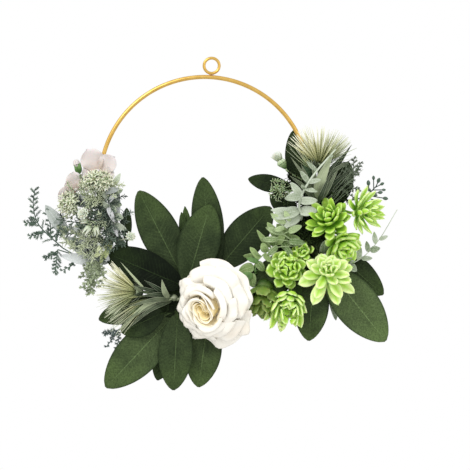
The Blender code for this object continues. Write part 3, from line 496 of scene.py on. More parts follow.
# Broad, with a narrow neck and a point, widest past the middle.
leaf_outline = leaf_shape(0.16, 1.1, 0.62)
dark_leaf = veined_leaf("pressed_satin_leaf", (0.006, 0.014, 0.004), (0.05, 0.074, 0.027), 22, 0.45)
for leaf_name, (base, tip, width, place_on_tape, bow, cup, wave, tone) in LEAVES.items():
    base, tip = np.array(base, float), np.array(tip, float)
    spine = np.array([base, (base + tip) / 2 + FRONT * bow, tip])
    sheet = blade(spine, width, leaf_outline, cup=cup, wave=wave)
    inside = spread(spine, np.array([0.07]))[0]
    petiole = pipe(stem_path(place_on_tape, inside, inside - base), PETIOLE_RADIUS, 10, 8, tone=tone)
    rib_path = spread(spine, np.linspace(0.02, 0.9, 6)) - FRONT * 0.7
    rib = pipe(rib_path, 0.8, 12, 8, tapered(0.75), tone=tone)
    skins = [wall(sheet, 30, 28, 0.8, tone=tone), petiole, rib]
    piece_of(leaf_name + "_pressed", skins, dark_leaf, [leaf_name])


# ---------------------------------------------------------------- Open rose
# A garden rose of thin satin petals, ivory with a warm honey heart, each cut wide, ball-pressed to a cup and
# rolled back at its rim, glued in layers round a coil on a wire. A green calyx of sepals holds it behind.
UP = np.array([0.0, 0.0, 1.0])
ROSE_BACK = np.array((12, -32, -142), float)
ROSE_EYE = np.array((4, -60, -147), float)
ROSE_LAYERS = (
    # petals as (turn in degrees, half span in degrees, radius at rim, point), radius at foot, height of rim,
    # flare, lip, slit
    (((60, 112, 5.2, 0), (235, 105, 6.4, 0)), 4.5, 27.5, 0.0, 0.3, 0.55),
    (((75, 95, 9.6, 0.5), (195, 90, 10.4, 0.5), (310, 90, 10.0, 0.5)), 6.5, 28.5, 0.0, 1.0, 0.42),
    (((20, 75, 14, 1), (125, 70, 13.5, 1), (230, 75, 14.5, 1)), 8.0, 28.5, 0.1, 2.0, 0.26),
    (((70, 62, 19, 2), (175, 66, 18, 1.5), (280, 60, 19.5, 2)), 9.0, 27.0, 0.2, 3.0, 0.15),
    (((10, 52, 26, 3), (100, 50, 26, 3), (190, 50, 24, 2), (275, 52, 25, 3)), 10.0, 22.5, 0.4, 3.6, 0.05),
    (((50, 46, 33, 4), (135, 44, 30, 4), (215, 44, 30, 4), (290, 42, 32, 4), (345, 36, 31, 4)),
     12.5, 16.0, 0.65, 3.8, 0.0),
    (((88, 38, 42, 1), (135, 36, 37, 4), (185, 36, 36, 3), (240, 36, 37, 4), (300, 36, 40, 3), (5, 38, 39, 3),
      (48, 34, 43, 2)), 14.5, 9.0, 0.85, 4.0, 0.0),
    (((73, 34, 48.5, 1), (36, 30, 46, 2), (8, 30, 42, 2), (318, 33, 42, 8), (279, 34, 47, 2),
      (236, 30, 38, 7), (193, 34, 40, 2), (147, 34, 38, 7)), 17.0, 3.0, 1.0, 3.5, 0.0),
    (((25, 46, 40, 0), (100, 46, 42, 0), (172, 46, 34, 0), (244, 46, 34, 0), (316, 46, 38, 0)),
     17.0, 1.0, 1.0, 1.0, 0.0),
)
ROSE_DRIFT = np.array((-8.0, 0.0, -5.0))
ROSE_HEIGHT = 29.0
SLIT_TURN = 2.15


def axis_frame(axis, facing=UP):
    """Sideways, upwards and along directions of pieces on an axis, upwards as near to facing as it can."""
    along = unit(np.asarray(axis, float))
    facing = np.asarray(facing, float)
    if along.ndim == 1 and abs(along @ unit(facing)) > 0.98:
        facing = -FRONT
    sideways = unit(np.cross(np.broadcast_to(facing, along.shape), along))
    return sideways, np.cross(along, sideways), along


def rose_sheet(petals_of, foot, height, flare, lip, slit, phases):
    """A layer of petals wrapped round the rose's axis, as u across and v from foot to rim: the angle spans
    more towards the rim, the radius grows by a power of v, the height follows a sine that turns over by
    flare, the rim rolls back by lip and comes to a point at u = 0, and sines of u ruffle it. The heart is
    squeezed to a slit and drifts to one side with height."""
    sideways, upwards, along = axis_frame(ROSE_EYE - ROSE_BACK)
    turns, spans, rims, points = (np.array(column, float)[:, None, None] for column in zip(*petals_of))
    turns, spans, phases = np.radians(turns), np.radians(spans), phases[:, None, None]

    def sheet(u, v):
        """The points at u across each petal, from -1 to 1, and v from foot to rim, from 0 to 1."""
        v = v[:, None]
        angle = turns + spans * (0.45 + 0.55 * np.sin(np.pi * v / 2)) * u
        tuck = 1 + (0.2 - 0.12 * flare) * u - 0.10 * u * u * v
        reach = foot + (rims - foot) * v ** (0.7 + 0.3 * flare)
        quarter = math.pi / 2 * (1 + 0.5 * flare)
        up = height * np.sin(quarter * v) / math.sin(quarter) * (1 - 0.16 * u * u * v)
        roll = np.clip((v - 0.7) / 0.3, 0, 1) ** 2
        ruffle = np.sin(4.2 * u + phases) * 0.05 * v**3 + np.sin(9.5 * u + 2 * phases) * 0.025 * v**4
        corner = np.exp(-((u / 0.26) ** 2)) * points * v**5
        reach = (reach + lip * roll * (0.4 + 0.6 * flare) + corner * flare) * tuck + ruffle * rims * 0.35
        reach = reach * (1 + slit * np.cos(2 * (angle - SLIT_TURN)))
        up = up - lip * roll * (0.35 + 0.65 * flare) * 0.8 + corner * (1 - flare) + ruffle * rims * 0.8
        flat = around(sideways, upwards, angle) * reach[..., None]
        drift = ROSE_DRIFT * np.clip(up / ROSE_HEIGHT, 0, 1)[..., None]
        return ROSE_BACK + flat + along * up[..., None] + drift

    return sheet


ivory = Finish("ivory_satin_petal", Specular_IOR_Level=0.15)
_, petal_v, heart = ivory.grain()
weave = ivory.noise(1800, 2)
shade = ivory.noise(60, 3)
# Partly the rose's own honey heart, partly painted light: towards their feet, where they sit in the shade
# between the layers, the petals are painted a brighter, yellower cream, and deep gold nearer the heart,
# standing in for warm light glowing through them.
honey_heart_and_gap_glow = ivory.mix(ivory.between(heart + petal_v * 0.6, 0.35, 1.05), (1.0, 0.86, 0.48), (0.96, 0.88, 0.69))
rimmed = ivory.mix(ivory.between(petal_v + heart * 0.6, 0.8, 1.3), honey_heart_and_gap_glow, (0.885, 0.85, 0.765))
ivory.colour(ivory.mix(ivory.between(shade, 0.45, 0.75) * 0.45, rimmed, (0.81, 0.71, 0.58)))
ivory.roughness(0.55 + weave * 0.2)
ivory.relief(weave * 0.4 + ivory.noise(220, 4), 0.25, 0.5)
draw = np.random.default_rng(11)
rose_skins = []
for petals_of, foot, height, flare, lip, slit in ROSE_LAYERS:
    sheet = rose_sheet(petals_of, foot, height, flare, lip, slit, draw.uniform(0, 6.28, len(petals_of)))
    heart_share = np.clip((np.array([petal[2] for petal in petals_of]) - 5) / 24, 0, 1)
    rose_skins.append(wall(sheet, 28, 48, 0.5, tone=heart_share, end=1.0))
sideways, upwards, along = axis_frame(ROSE_EYE - ROSE_BACK)
cup_path = [ROSE_BACK + along * h for h in (-3.2, 1, 6)]
cup_pipe = pipe(cup_path, 20.0, 10, 24, bulb(0.0, 0.08, 0.6, 0.8), tone=1.0)
plug = pipe([ROSE_BACK + along * h + ROSE_DRIFT * h / ROSE_HEIGHT for h in (6, 13, 20)], 3.6, 10, 24,
            lambda t: np.sqrt(np.clip(1.02 - t**3, 0, 1)), tone=-0.4)
rose_skins += [cup_pipe, plug]
piece_of("rose_petals", rose_skins, ivory, ["rose_bloom"])

sepal_green = Finish("sepal_green", Roughness=0.6)
sepal_cloud = sepal_green.noise(200, 4)
sepal_green.colour(sepal_green.ramp(sepal_cloud, (0.3, (0.06, 0.14, 0.03)), (0.7, (0.14, 0.27, 0.07))))
sepal_green.relief(sepal_green.noise(700, 3), 0.2)
calyx_back = ROSE_BACK - along * 6.3
outs = around(sideways, upwards, full_turn(5)) - along * 0.1
sepal_spines = np.stack([
    calyx_back + outs * 3, calyx_back + outs * 9 + along * 0.6, calyx_back + outs * 16
], axis=1)
calyx_skins = [
    wall(blade(sepal_spines, 7.0, leaf_outline, facing=along, cup=-0.15), 12, 12, 0.8),
    pipe([calyx_back - along * 6, calyx_back, calyx_back + along * 2.8], 6.0, 10, 14, bulb(0.25, 0.1, 0.75)),
    pipe(stem_path((277, 55), calyx_back - along * 3, along), 1.8, 12, 10),
]
piece_of("rose_calyx_cup", calyx_skins, sepal_green, ["rose_calyx"])


# ---------------------------------------------------------------- Proteas
# Pincushion heads: a fan of fine extruded plastic needles, cream with green feet, moulded in tufts on a small
# core, with lance-shaped bracts round it on one wired stem, dull green with pale edges.
PROTEAS = {
    # base of the head, axis, spread to each side, to the front and to the back, needle length, count, seat,
    # the side that turns green, green share, length of the short bracts
    "protea_right": ((134, -15, 18), (0.08, -0.22, 1.0), 1.45, 0.8, 0.05, 49, 220, (352, 68), 1, 0.28, 15),
    "protea_left": ((-76, -24, -129), (-1.0, -0.15, 0.05), 1.1, 0.8, 0.05, 50, 180, (263, 80), -1, 0.4, 15),
}
SWEEPS = {
    # bundles of loose needles beside a head: foot, middle, tip, count
    "protea_left": (
        ((-66, -26, -138), (-82, -30, -146), (-108, -30, -164), 16),
        ((-63, -26, -140), (-80, -29, -153), (-103, -27, -174), 12),
        ((-70, -26, -134), (-89, -32, -134), (-115, -32, -139), 10),
    ),
    "protea_right": (
        ((130, -18, 13), (117, -22, 22), (103, -22, 39), 8),
        ((135, -18, 13), (151, -20, 25), (168, -20, 34), 8),
    ),
}
BRACTS = {
    # foot, middle, tip, width, tone from dark to pale
    "protea_right": (
        ((130, -19, -22), (119, -26, 1), (100, -23, 28), 5, 0.45),
        ((130, -21, -22), (121, -28, -1), (112, -26, 20), 5, 0.35),
        ((133, -21, -20), (135, -33, 1), (149, -32, 32), 12, 0.8),
        ((135, -19, -22), (142, -29, 4), (171, -24, 25), 7, 0.25),
        ((135, -18, -21), (147, -20, 6), (172, -17, 43), 8, 0.1),
        ((134, -20, -22), (138, -28, 1), (159, -29, 29), 7, 0.15),
        ((133, -18, -22), (130, -24, -6), (124, -28, 25), 6, 0.5),
        ((136, -17, -21), (151, -20, -3), (170, -17, 13), 6, 0.1),
        ((134, -24, -22), (142, -33, -10), (156, -36, 15), 6, 0.35),
        ((133, -24, -24), (137, -34, -13), (147, -38, 11), 5, 0.2),
        ((128, -20, -22), (114, -27, -6), (99, -26, 6), 5, 0.3),
    ),
    "protea_left": (
        ((-35, -16, -136), (-66, -31, -143), (-103, -28, -178), 5, 0.75),
        ((-38, -16, -135), (-63, -26, -127), (-83, -30, -121), 4.5, 0.15),
        ((-38, -17, -138), (-59, -33, -138), (-89, -34, -146), 5, 0.35),
        ((-38, -17, -138), (-63, -30, -145), (-98, -32, -167), 5, 0.45),
        ((-68, -25, -127), (-82, -31, -111), (-97, -29, -94), 2.4, 1.0),
        ((-42, -22, -136), (-46, -32, -127), (-49, -32, -114), 6, 0.6),
        ((-39, -17, -139), (-61, -26, -148), (-94, -26, -176), 5, 0.3),
        ((-40, -17, -136), (-54, -26, -125), (-70, -26, -115), 5, 0.1),
        ((-38, -17, -139), (-56, -29, -146), (-82, -32, -162), 5, 0.25),
        ((-38, -18, -134), (-56, -28, -132), (-75, -30, -134), 5, 0.2),
    ),
}
GOLDEN_TURN = math.radians(137.508)
SHORT_BRACTS = 16


def columns(table):
    """The columns of a table, each as an array."""
    return [np.array(column, float) for column in zip(*table)]


def bowed(feet, tips, bow=0.0):
    """Paths of three points, from each foot to its tip by way of their middle, moved off by a bow."""
    return np.stack(np.broadcast_arrays(feet, (feet + tips) / 2 + bow, tips), axis=-2).reshape(-1, 3, 3)


# A lance: a third of its width at the foot, widest at two fifths, with a long point.
narrow_outline = leaf_shape(0.35, 0.75, 0.9)
bristle = Finish("cream_bristle", Roughness=0.5, Specular_IOR_Level=0.3)
_, bristle_along, bristle_tone = bristle.grain()
bristle_long = bristle.ramp(bristle_along, (0.03, (0.08, 0.1, 0.035)), (0.25, (0.34, 0.36, 0.15)),
                            (0.55, (0.64, 0.63, 0.34)), (0.9, (0.83, 0.82, 0.62)))
bristle_green = bristle.ramp(bristle_along, (0.05, (0.03, 0.05, 0.015)), (0.5, (0.13, 0.19, 0.08)),
                             (0.95, (0.42, 0.48, 0.32)))
bristle.colour(bristle.mix(bristle_tone, bristle_long, bristle_green))
bristle.relief(bristle.noise(900, 2), 0.1)
bract_green = Finish("bract_green", Roughness=0.6, Specular_IOR_Level=0.2)
bract_across, bract_along, bract_tone = bract_green.grain()
bract_off = abs(bract_across)
bract_line = bract_green.between(bract_off, 0.2, 0.04)
bract_edge = bract_green.between(bract_off, 0.8, 0.98)
bract_body = bract_green.mix(bract_green.between(bract_tone + bract_green.noise(90) * 0.4, 0.25, 1.3),
                             (0.012, 0.026, 0.009), (0.4, 0.46, 0.28))
bract_pale = (bract_line * 0.3 + bract_edge * 0.8) * bract_along
bract_green.colour(bract_green.mix(bract_pale, bract_body, (0.56, 0.6, 0.44)))
bract_green.relief(bract_line + bract_green.noise(600, 3) * 0.5, 0.3)
for protea_name, protea in PROTEAS.items():
    base, axis, wide, forward, back, length, count, place_on_tape, green_side, green_share, short = protea
    draw = np.random.default_rng(len(protea_name))
    base = np.array(base, float)
    axis = unit(np.array(axis, float))
    side = unit(np.cross(axis, FRONT))
    front = np.cross(side, axis)
    order = np.arange(count)
    out = np.sqrt((order + 0.5) / count)
    angle = order * GOLDEN_TURN
    depth = np.sin(angle) * np.where(np.sin(angle) > 0, forward, back)
    ways = unit(axis + side * (out * np.cos(angle) * wide)[:, None] + front * (out * depth)[:, None])
    ways = unit(ways + draw.normal(0, 0.06, ways.shape))
    reach = (length * draw.uniform(0.66, 1.0, count))[:, None]
    feet = base + ways * 2.5
    tips = base + ways * reach
    sag = unit(ways - axis * 0.6) * (draw.uniform(-0.02, 0.07, count)[:, None] * length)
    green = green_share + green_side * 0.5 * out * np.cos(angle) + draw.uniform(-0.3, 0.3, count)
    needle_paths = np.stack([feet, (feet + tips) / 2 + sag * 0.2, tips + sag * 0.5], axis=1)
    needles = pipe(needle_paths, draw.uniform(0.5, 1.0, count), 6, 5, tapered(0.75, 1.6),
                   tone=np.clip(green, 0, 1))
    foot = np.array(BRACTS[protea_name][0][0], float)
    core = pipe([base - axis * 5, base, base + axis * 5], 5.0, 10, 16, bulb(0.25, 0.1, 0.8), tone=1.0)
    neck = pipe([base + axis * 2, base - axis * 8, foot + (base - foot) * 0.15], 1.6, 8, 8, tone=1.0)
    *bundle, strands = columns(SWEEPS[protea_name])
    bundles = np.repeat(np.stack(bundle, axis=1), strands.astype(int), axis=0)
    stray = draw.normal(0, 1, (len(bundles), 1, 3)) * np.array([[0.8], [2.2], [5.0]])
    stray[:, :, 1] *= 0.5
    sweeps = pipe(bundles + stray, draw.uniform(0.35, 0.7, len(bundles)), 7, 5, tapered(0.75, 1.6),
                  tone=draw.uniform(0.2, 1.0, len(bundles)))
    skins = [needles, sweeps, core, neck]
    piece_of(protea_name + "_bristles", skins, bristle, [protea_name + "_head"])
    *spine, widths, pale = columns(BRACTS[protea_name])
    bracts = wall(blade(np.stack(spine, axis=1), widths, narrow_outline, cup=0.3), 16, 12, 0.8, tone=pale)
    outs = around(side * 1.1, front * 0.9, np.arange(SHORT_BRACTS) * 2.4)
    short_ways = unit(outs * draw.uniform(0.5, 1.0, (SHORT_BRACTS, 1)) + axis)
    short_feet = base - axis * 5 + outs * 2.5
    short_tips = short_feet + short_ways * short * draw.uniform(0.8, 1.2, (SHORT_BRACTS, 1))
    short_bracts = blade(bowed(short_feet, short_tips, outs), 3.4, narrow_outline, facing=axis, cup=0.3)
    collar = wall(short_bracts, 8, 8, 0.6, tone=draw.uniform(0.05, 0.6, SHORT_BRACTS))
    knot = pipe([foot - axis * 4, foot, foot + axis * 4.5], 4.0, 8, 10, bulb(0.3))
    stalk = pipe(stem_path(place_on_tape, foot, base - foot), 1.8, 10, 8)
    piece_of(protea_name + "_bract_set", [bracts, collar, knot, stalk], bract_green,
             [protea_name + "_bracts"])


# ---------------------------------------------------------------- Succulents
# Soft moulded rosettes, fresh yellow-green with paler rims dusted by hand, one of them darker: fleshy spoon
# petals in rings on a domed core, on wire stems.
SUCCULENTS = {
    # centre of the back, axis, petal length, rings of petals as (count, rise in degrees, reach), width of a
    # petal over its length, first turn, curl towards the axis, the side where petals are longer and by how
    # much, tone from deep to pale, seat
    "succulent_1": ((147, -27, -50), (-0.3, -0.7, 0.6), 31,
                    ((8, 6, 1.0), (8, 24, 0.98), (7, 42, 0.88), (5, 60, 0.72), (3, 82, 0.55)), 0.36, 0.3,
                    0.12, (150, 0.12), 0.15, (345, 60)),
    "succulent_2": ((158, -12, -68), (0.3, -0.6, -0.6), 29,
                    ((6, 22, 1.0), (6, 42, 0.95), (4, 62, 0.85), (3, 80, 0.65)), 0.56, 0.9, 0.08,
                    (300, 0.1), 0.45, (334, 35)),
    "succulent_3": ((178, -18, -36), (0.8, -0.6, 0.0), 33,
                    ((10, 18, 1.0), (9, 36, 1.0), (7, 54, 0.92), (5, 74, 0.8)), 0.23, 0.2, 0.12,
                    (0, 0.0), 1.0, (351, 25)),
    "succulent_4": ((96, -18, -101), (0.1, -1.0, 0.1), 26,
                    ((7, 4, 1.0), (7, 26, 0.94), (6, 46, 0.82), (5, 64, 0.64), (3, 82, 0.45)), 0.5, 0.5, 0.24,
                    (300, 0.05), 0.4, (322, 80)),
    "succulent_5": ((142, -28, -108), (0.05, -0.9, 0.35), 36,
                    ((8, 4, 1.0), (8, 20, 0.92), (7, 38, 0.8), (5, 56, 0.66), (3, 78, 0.5)), 0.36, 0.25, 0.1,
                    (268, 0.28), 1.5, (327, 60)),
    "succulent_6": ((99, -18, -133), (-0.08, -0.7, -0.7), 38,
                    ((8, 40, 1.0), (8, 54, 0.95), (6, 68, 0.86), (4, 82, 0.75)), 0.3, 0.4, 0.14,
                    (228, 0.3), 1.0, (313, 40)),
    "succulent_7": ((70, -8, -119), (-0.06, -0.3, -0.95), 46,
                    ((10, 40, 1.0), (9, 50, 0.95), (7, 62, 0.9), (5, 76, 0.8)), 0.34, 0.8, 0.06,
                    (0, 0.0), 0.8, (305, 60)),
    "offset_rosette": ((115, -14, -83), (-0.1, -0.9, 0.4), 15,
                       ((5, 15, 1.0), (4, 45, 0.85), (2, 75, 0.6)), 0.6, 0.3, 0.15, (0, 0.0), 0.6, (333, 80)),
}


def fleshy(name, deep, fresh, pale):
    """Soft vinyl flesh: deep green at the foot, fresh over the body and pale where dust caught the rims."""
    made = Finish(name, Specular_IOR_Level=0.3, Subsurface_Weight=0.1, Subsurface_Scale=0.004)
    across, along, tone = made.grain()
    off = abs(across)
    cloud = made.noise(150, 3)
    rim = made.between(off * 0.7 + along * 0.6 + tone * 0.45 + cloud * 0.4, 1.1, 2.0)
    body = made.mix(made.between(along * 0.9 + tone * 0.35 + cloud * 0.3, 0.35, 1.1), deep, fresh)
    made.colour(made.mix(rim * 0.85, body, pale))
    made.roughness(0.42 + cloud * 0.2)
    made.relief(made.noise(500, 3), 0.15)
    return made


# A fleshy spoon: narrow at the foot, widest at two thirds and round at the end.
finger_outline = leaf_shape(0.45, 1.45, 0.5, 1.5)
fresh_flesh = fleshy("fresh_green_flesh", (0.085, 0.25, 0.006), (0.42, 0.68, 0.07), (0.84, 0.93, 0.5))
dark_flesh = fleshy("olive_green_flesh", (0.03, 0.07, 0.008), (0.15, 0.24, 0.035), (0.36, 0.45, 0.15))
for number, (name, rosette) in enumerate(SUCCULENTS.items()):
    back, axis, length, rings, slim, turn, curl, (long_side, longer), tone, place_on_tape = rosette
    draw = np.random.default_rng(40 + number)
    back = np.array(back, float)
    sideways, upwards, along = axis_frame(axis)
    paths, widths = [], []
    for ring, (count, rise, share) in enumerate(rings):
        rise = np.radians(rise + draw.uniform(-7, 7, count))
        angle = turn + 2.4 * ring + 2 * np.pi * (np.arange(count) + draw.uniform(-0.16, 0.16, count)) / count
        reach = length * share * draw.uniform(0.86, 1.0, count)
        reach = reach * (1 + longer * np.cos(angle - math.radians(long_side)))
        flat = around(sideways, upwards, angle)
        ways = flat * np.cos(rise)[:, None] + along * np.sin(rise)[:, None]
        foot = back + along * length * 0.07 * ring
        feet = foot + ways * length * 0.1
        ends = foot + ways * reach[:, None]
        bulge = unit(flat - along * 0.5) * (reach * curl)[:, None]
        paths.append(bowed(feet, ends, bulge))
        widths.append(length * slim * (1 - 0.07 * ring) * draw.uniform(0.85, 1.1, count))
    paths, widths = np.concatenate(paths), np.concatenate(widths)
    leafy = name == "succulent_7"
    build = (leaf_outline, 1.3, 3.5, 0.12) if leafy else (finger_outline, 0.5, 1.5, 0.36)
    outline, wave, waves, plump = build
    sheet = blade(paths, widths, outline, facing=along, cup=0.4, wave=wave, waves=waves)
    tones = np.clip(tone + draw.uniform(-0.3, 0.3, len(widths)), 0, 1.5)
    petals_skin = wall(sheet, 14, 14, widths * plump, bulb(0.55), tone=tones, end=0.996 if leafy else 1.0)
    core_path = [back + along * length * h for h in (-0.12, 0.1, 0.35)]
    core = pipe(core_path, length * 0.26, 8, 14, bulb(0.2), tone=0.0)
    stalk = pipe(stem_path(place_on_tape, back, along), 1.8, 12, 8, tone=0.0)
    flesh = dark_flesh if leafy else fresh_flesh
    slot = "dark_succulent" if leafy else "succulent"
    nodes = [name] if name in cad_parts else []
    piece_of(name + "_rosette", [petals_skin, core, stalk], flesh, nodes)


# ---------------------------------------------------------------- Leafy sprays
# Small eucalyptus and filler leaves, cut from dull polyester and dusted with frost, glued along thin wires.
# The long sprays, and the loose wires of leaves between them, are bound to the tapes with the rest. The wire
# of pale grey leaves behind the left cluster is a painted shadow: pale sheets set where the foliage's shadow
# falls behind it.
SPRAYS = {
    # spine, seat, stem radius, leaves as (place along the spine, tip, width), slot
    "eucalyptus_upper": (
        ((113, -18, -41), (110, -27, -28), (116, -34, -10), (130, -38, 11), (152, -36, 36)), (337, 90), 2.0,
        (
            (0.94, (147, -40, 26), 4), (0.6, (111, -38, 11), 6.5), (0.6, (135, -40, 1), 5.5),
            (0.5, (112, -38, -5), 4), (0.5, (131, -38, -13), 7), (0.4, (100, -36, -2), 8.5),
            (0.4, (93, -34, -21), 10), (0.32, (131, -36, -23), 9.5), (0.14, (78, -30, -43), 14),
            (0.12, (131, -32, -35), 12), (0.1, (77, -26, -34), 9), (0.75, (118, -40, 22), 5),
            (0.05, (93, -26, -54), 11),
        ),
        "eucalyptus",
    ),
    "frosted_filler_left": (
        ((-102, -11, -61), (-105, -14, -47), (-109, -15, -31), (-109, -15, -17), (-104, -13, -3)),
        (211.5, 85), 1.0,
        (
            (0.97, (-98, -14, 9), 7), (0.9, (-116, -16, 4), 7), (0.8, (-95, -15, -10), 8),
            (0.7, (-121, -16, -12), 8), (0.6, (-96, -15, -28), 9), (0.45, (-121, -16, -22), 7),
            (0.35, (-94, -14, -43), 9), (0.2, (-91, -13, -57), 8), (0.1, (-114, -14, -64), 8),
            (0.55, (-102, -20, -36), 6), (0.75, (-101, -19, -19), 6), (0.3, (-112, -20, -52), 7),
        ),
        "eucalyptus",
    ),
    "eucalyptus_lower": (
        ((101, -14, -65), (88, -17, -72), (72, -17, -83), (61, -17, -94), (53, -17, -108)), (330, 95), 1.2,
        (
            (0.06, (84, -23, -50), 12), (0.22, (73, -21, -48), 10), (0.4, (61, -20, -57), 9),
            (0.62, (45, -19, -87), 9), (0.85, (40, -19, -105), 12), (0.02, (112, -20, -69), 9),
            (0.98, (57, -18, -124), 11), (0.75, (70, -18, -105), 9), (0.3, (93, -22, -59), 9),
            (0.12, (100, -22, -52), 10), (0.5, (67, -20, -72), 9), (0.18, (98, -22, -83), 10),
            (0.55, (79, -21, -94), 8), (0.35, (77, -24, -64), 9), (0.68, (53, -21, -77), 8),
        ),
        "eucalyptus_yellow",
    ),
    "eucalyptus_outer": (
        ((133, -8, -80), (159, -11, -98), (183, -12, -90), (204, -12, -68), (225, -12, -33)), (338, 15), 0.8,
        (
            (0.25, (163, -13, -110), 8), (0.34, (178, -13, -105), 9), (0.46, (182, -12, -76), 7),
            (0.5, (196, -11, -90), 6), (0.62, (205, -13, -78), 8), (0.6, (189, -12, -70), 6),
            (0.75, (214, -13, -64), 5), (0.7, (198, -12, -59), 6), (0.06, (140, -26, -69), 13),
            (0.3, (175, -13, -78), 7), (0.4, (169, -15, -94), 7),
        ),
        "eucalyptus",
    ),
}


def from_tape(place_on_tape, spine):
    """The path of a wire that leaves a tape square for 4 mm and then follows a spine."""
    start, way = seat(*place_on_tape)
    return np.array([start, start + way * 4, *spine], float)


def dusted(name, deep, fresh, frost, frosted_share):
    """Dull leaf dusted with frost that gathers on the raised fibres and along the edges."""
    made = Finish(name, Specular_IOR_Level=0.1)
    across, _, tone = made.grain()
    off = abs(across)
    cloud = made.noise(160, 4)
    speck = made.noise(1300, 3)
    body = made.mix(made.between(cloud * 0.6 + tone * 0.9, 0.3, 1.2), deep, fresh)
    body = made.mix(made.between(off, 0.12, 0.02) * 0.4, body, frost)
    frosting = made.between(speck + off * 0.18 + tone * 0.15, 0.52, 0.8) * frosted_share
    made.colour(made.mix(frosting, body, frost))
    made.roughness(0.6 + speck * 0.25)
    made.relief(speck + made.between(off, 0.12, 0.02) * 0.6, 0.2)
    return made


# Rounded: widest before the middle, with a short point.
round_outline = leaf_shape(0.12, 0.8, 0.6)
grey_dusted = dusted("grey_green_dusted", (0.16, 0.21, 0.12), (0.42, 0.48, 0.35), (0.62, 0.67, 0.57), 0.6)
yellow_dusted = dusted("yellow_green_dusted", (0.05, 0.1, 0.02), (0.2, 0.31, 0.085), (0.49, 0.58, 0.33), 0.45)
for number, (name, (spine, place_on_tape, thick, leaves, slot)) in enumerate(SPRAYS.items()):
    draw = np.random.default_rng(60 + number)
    places, tips, widths = columns(leaves)
    paths = bowed(spread(spine, places), tips, FRONT * draw.uniform(0.3, 2.4, (len(leaves), 1)))
    facing = FRONT + draw.normal(0, 0.28, (len(leaves), 3))
    sheet = blade(paths, widths, round_outline, facing=facing, cup=0.2, wave=0.5, waves=1.5)
    skins = [
        pipe(from_tape(place_on_tape, spine), thick, 24, 8, tapered(0.5), tone=0.9),
        wall(sheet, 14, 14, 0.7, tone=draw.uniform(0, 1, len(leaves))),
    ]
    piece_of(name + "_leafy", skins, grey_dusted if slot == "eucalyptus" else yellow_dusted, [name])


LOOSE_LEAVES = {
    # wire, then leaves in order along it as (foot, tip, width), slot
    # Painted shadow: pale grey leaves set behind the left cluster where the foliage's shadow falls.
    "pale_leaves_left": (
        (seat(200, 20)[0], (-131, -6, -52), (-150, -5, -69), (-161, -5, -64)),
        (
            ((-161, -6, -62), (-186, -8, -28), 15), ((-110, -6, -94), (-164, -8, -66), 20),
            ((-117, -8, -90), (-140, -12, -64), 14),
            ((-108, -8, -59), (-100, -10, -13), 11), ((-117, -8, -73), (-157, -10, -55), 13),
            ((-126, -6, -94), (-168, -8, -87), 12), ((-112, -14, -94), (-124, -20, -71), 8),
            ((-122, -8, -29), (-168, -8, -17), 14),
        ), "eucalyptus",
    ),
    "lilac_leaves_left": (
        (seat(196, 80)[0], (-112, -16, -29), (-108, -20, -36), (-108, -20, -48)),
        (
            ((-115, -20, -13), (-98, -22, -9), 7), ((-111, -20, -24), (-104, -22, -16), 5),
            ((-112, -20, -31), (-104, -21, -48), 6), ((-108, -18, -50), (-100, -19, -65), 5),
        ), "eucalyptus",
    ),
    "scrap_leaves_right": (
        (seat(326, 0)[0], (135, 0, -101), (149, 0, -125), (151, -1, -139)),
        (((149, -2, -127), (154, -3, -163), 10), ((151, -2, -146), (165, -4, -161), 5)), "eucalyptus",
    ),
    "yellow_leaves_left": (
        (seat(212, 60)[0], (-108, -14, -69), (-115, -18, -76), (-124, -18, -80)),
        (
            ((-108, -14, -69), (-121, -20, -96), 9), ((-112, -16, -76), (-129, -19, -89), 7),
            ((-118, -16, -71), (-125, -22, -83), 5),
        ), "eucalyptus_yellow",
    ),
    "small_leaves_right": (
        (seat(333, 80)[0], (112, -18, -76), (100, -22, -68), (89, -24, -58), (96, -24, -47)),
        (
            ((95, -24, -77), (102, -27, -89), 7), ((98, -24, -70), (117, -27, -72), 8),
            ((85, -24, -76), (73, -26, -87), 7), ((86, -25, -68), (66, -28, -68), 7),
            ((91, -25, -62), (71, -28, -54), 7), ((98, -25, -59), (113, -28, -52), 8),
            ((93, -26, -54), (80, -30, -58), 6), ((94, -26, -50), (77, -29, -38), 8),
            ((99, -26, -47), (93, -29, -35), 7),
        ), "eucalyptus_yellow",
    ),
}


def leaves_on_wire(wire, leaves, outline, wave):
    """Leaves at even places along a wire, each bowed 2 mm to the front, on a straight stalk that ends a tenth
    of the way along it."""
    feet, tips, widths = columns(leaves)
    roots = spread(wire, np.linspace(0.1, 1.0, len(leaves)))
    stalks = np.stack([roots, (roots + feet) / 2, feet * 0.9 + tips * 0.1], axis=1)
    sheet = blade(bowed(feet, tips, FRONT * 2), widths, outline, cup=0.15, wave=wave)
    tones = np.linspace(0, 1, len(leaves))
    return [pipe(wire, 0.8, 16, 6), pipe(stalks, 0.6, 6, 6), wall(sheet, 16, 16, 0.6, tone=tones)]


# Pale grey of the painted shadow leaves: the colour of the foliage's shadow behind the wreath.
shadow_grey_frosted = dusted("shadow_grey_frosted_leaf", (0.36, 0.4, 0.36), (0.52, 0.55, 0.53), (0.68, 0.7, 0.71), 0.6)
lilac_frosted = dusted("lilac_frosted_leaf", (0.3, 0.33, 0.31), (0.5, 0.51, 0.51), (0.64, 0.64, 0.65), 0.5)
yellow_fresh = dusted("yellow_fresh_leaf", (0.22, 0.27, 0.09), (0.42, 0.47, 0.24), (0.64, 0.67, 0.48), 0.6)
sage_dusted = dusted("sage_dusted_leaf", (0.08, 0.14, 0.04), (0.27, 0.37, 0.15), (0.55, 0.64, 0.41), 0.5)
loose_finishes = (shadow_grey_frosted, lilac_frosted, grey_dusted, yellow_fresh, sage_dusted)
for (name, (wire, leaves, slot)), finish in zip(LOOSE_LEAVES.items(), loose_finishes):
    piece_of(name, leaves_on_wire(wire, leaves, round_outline, 1.2), finish, [])


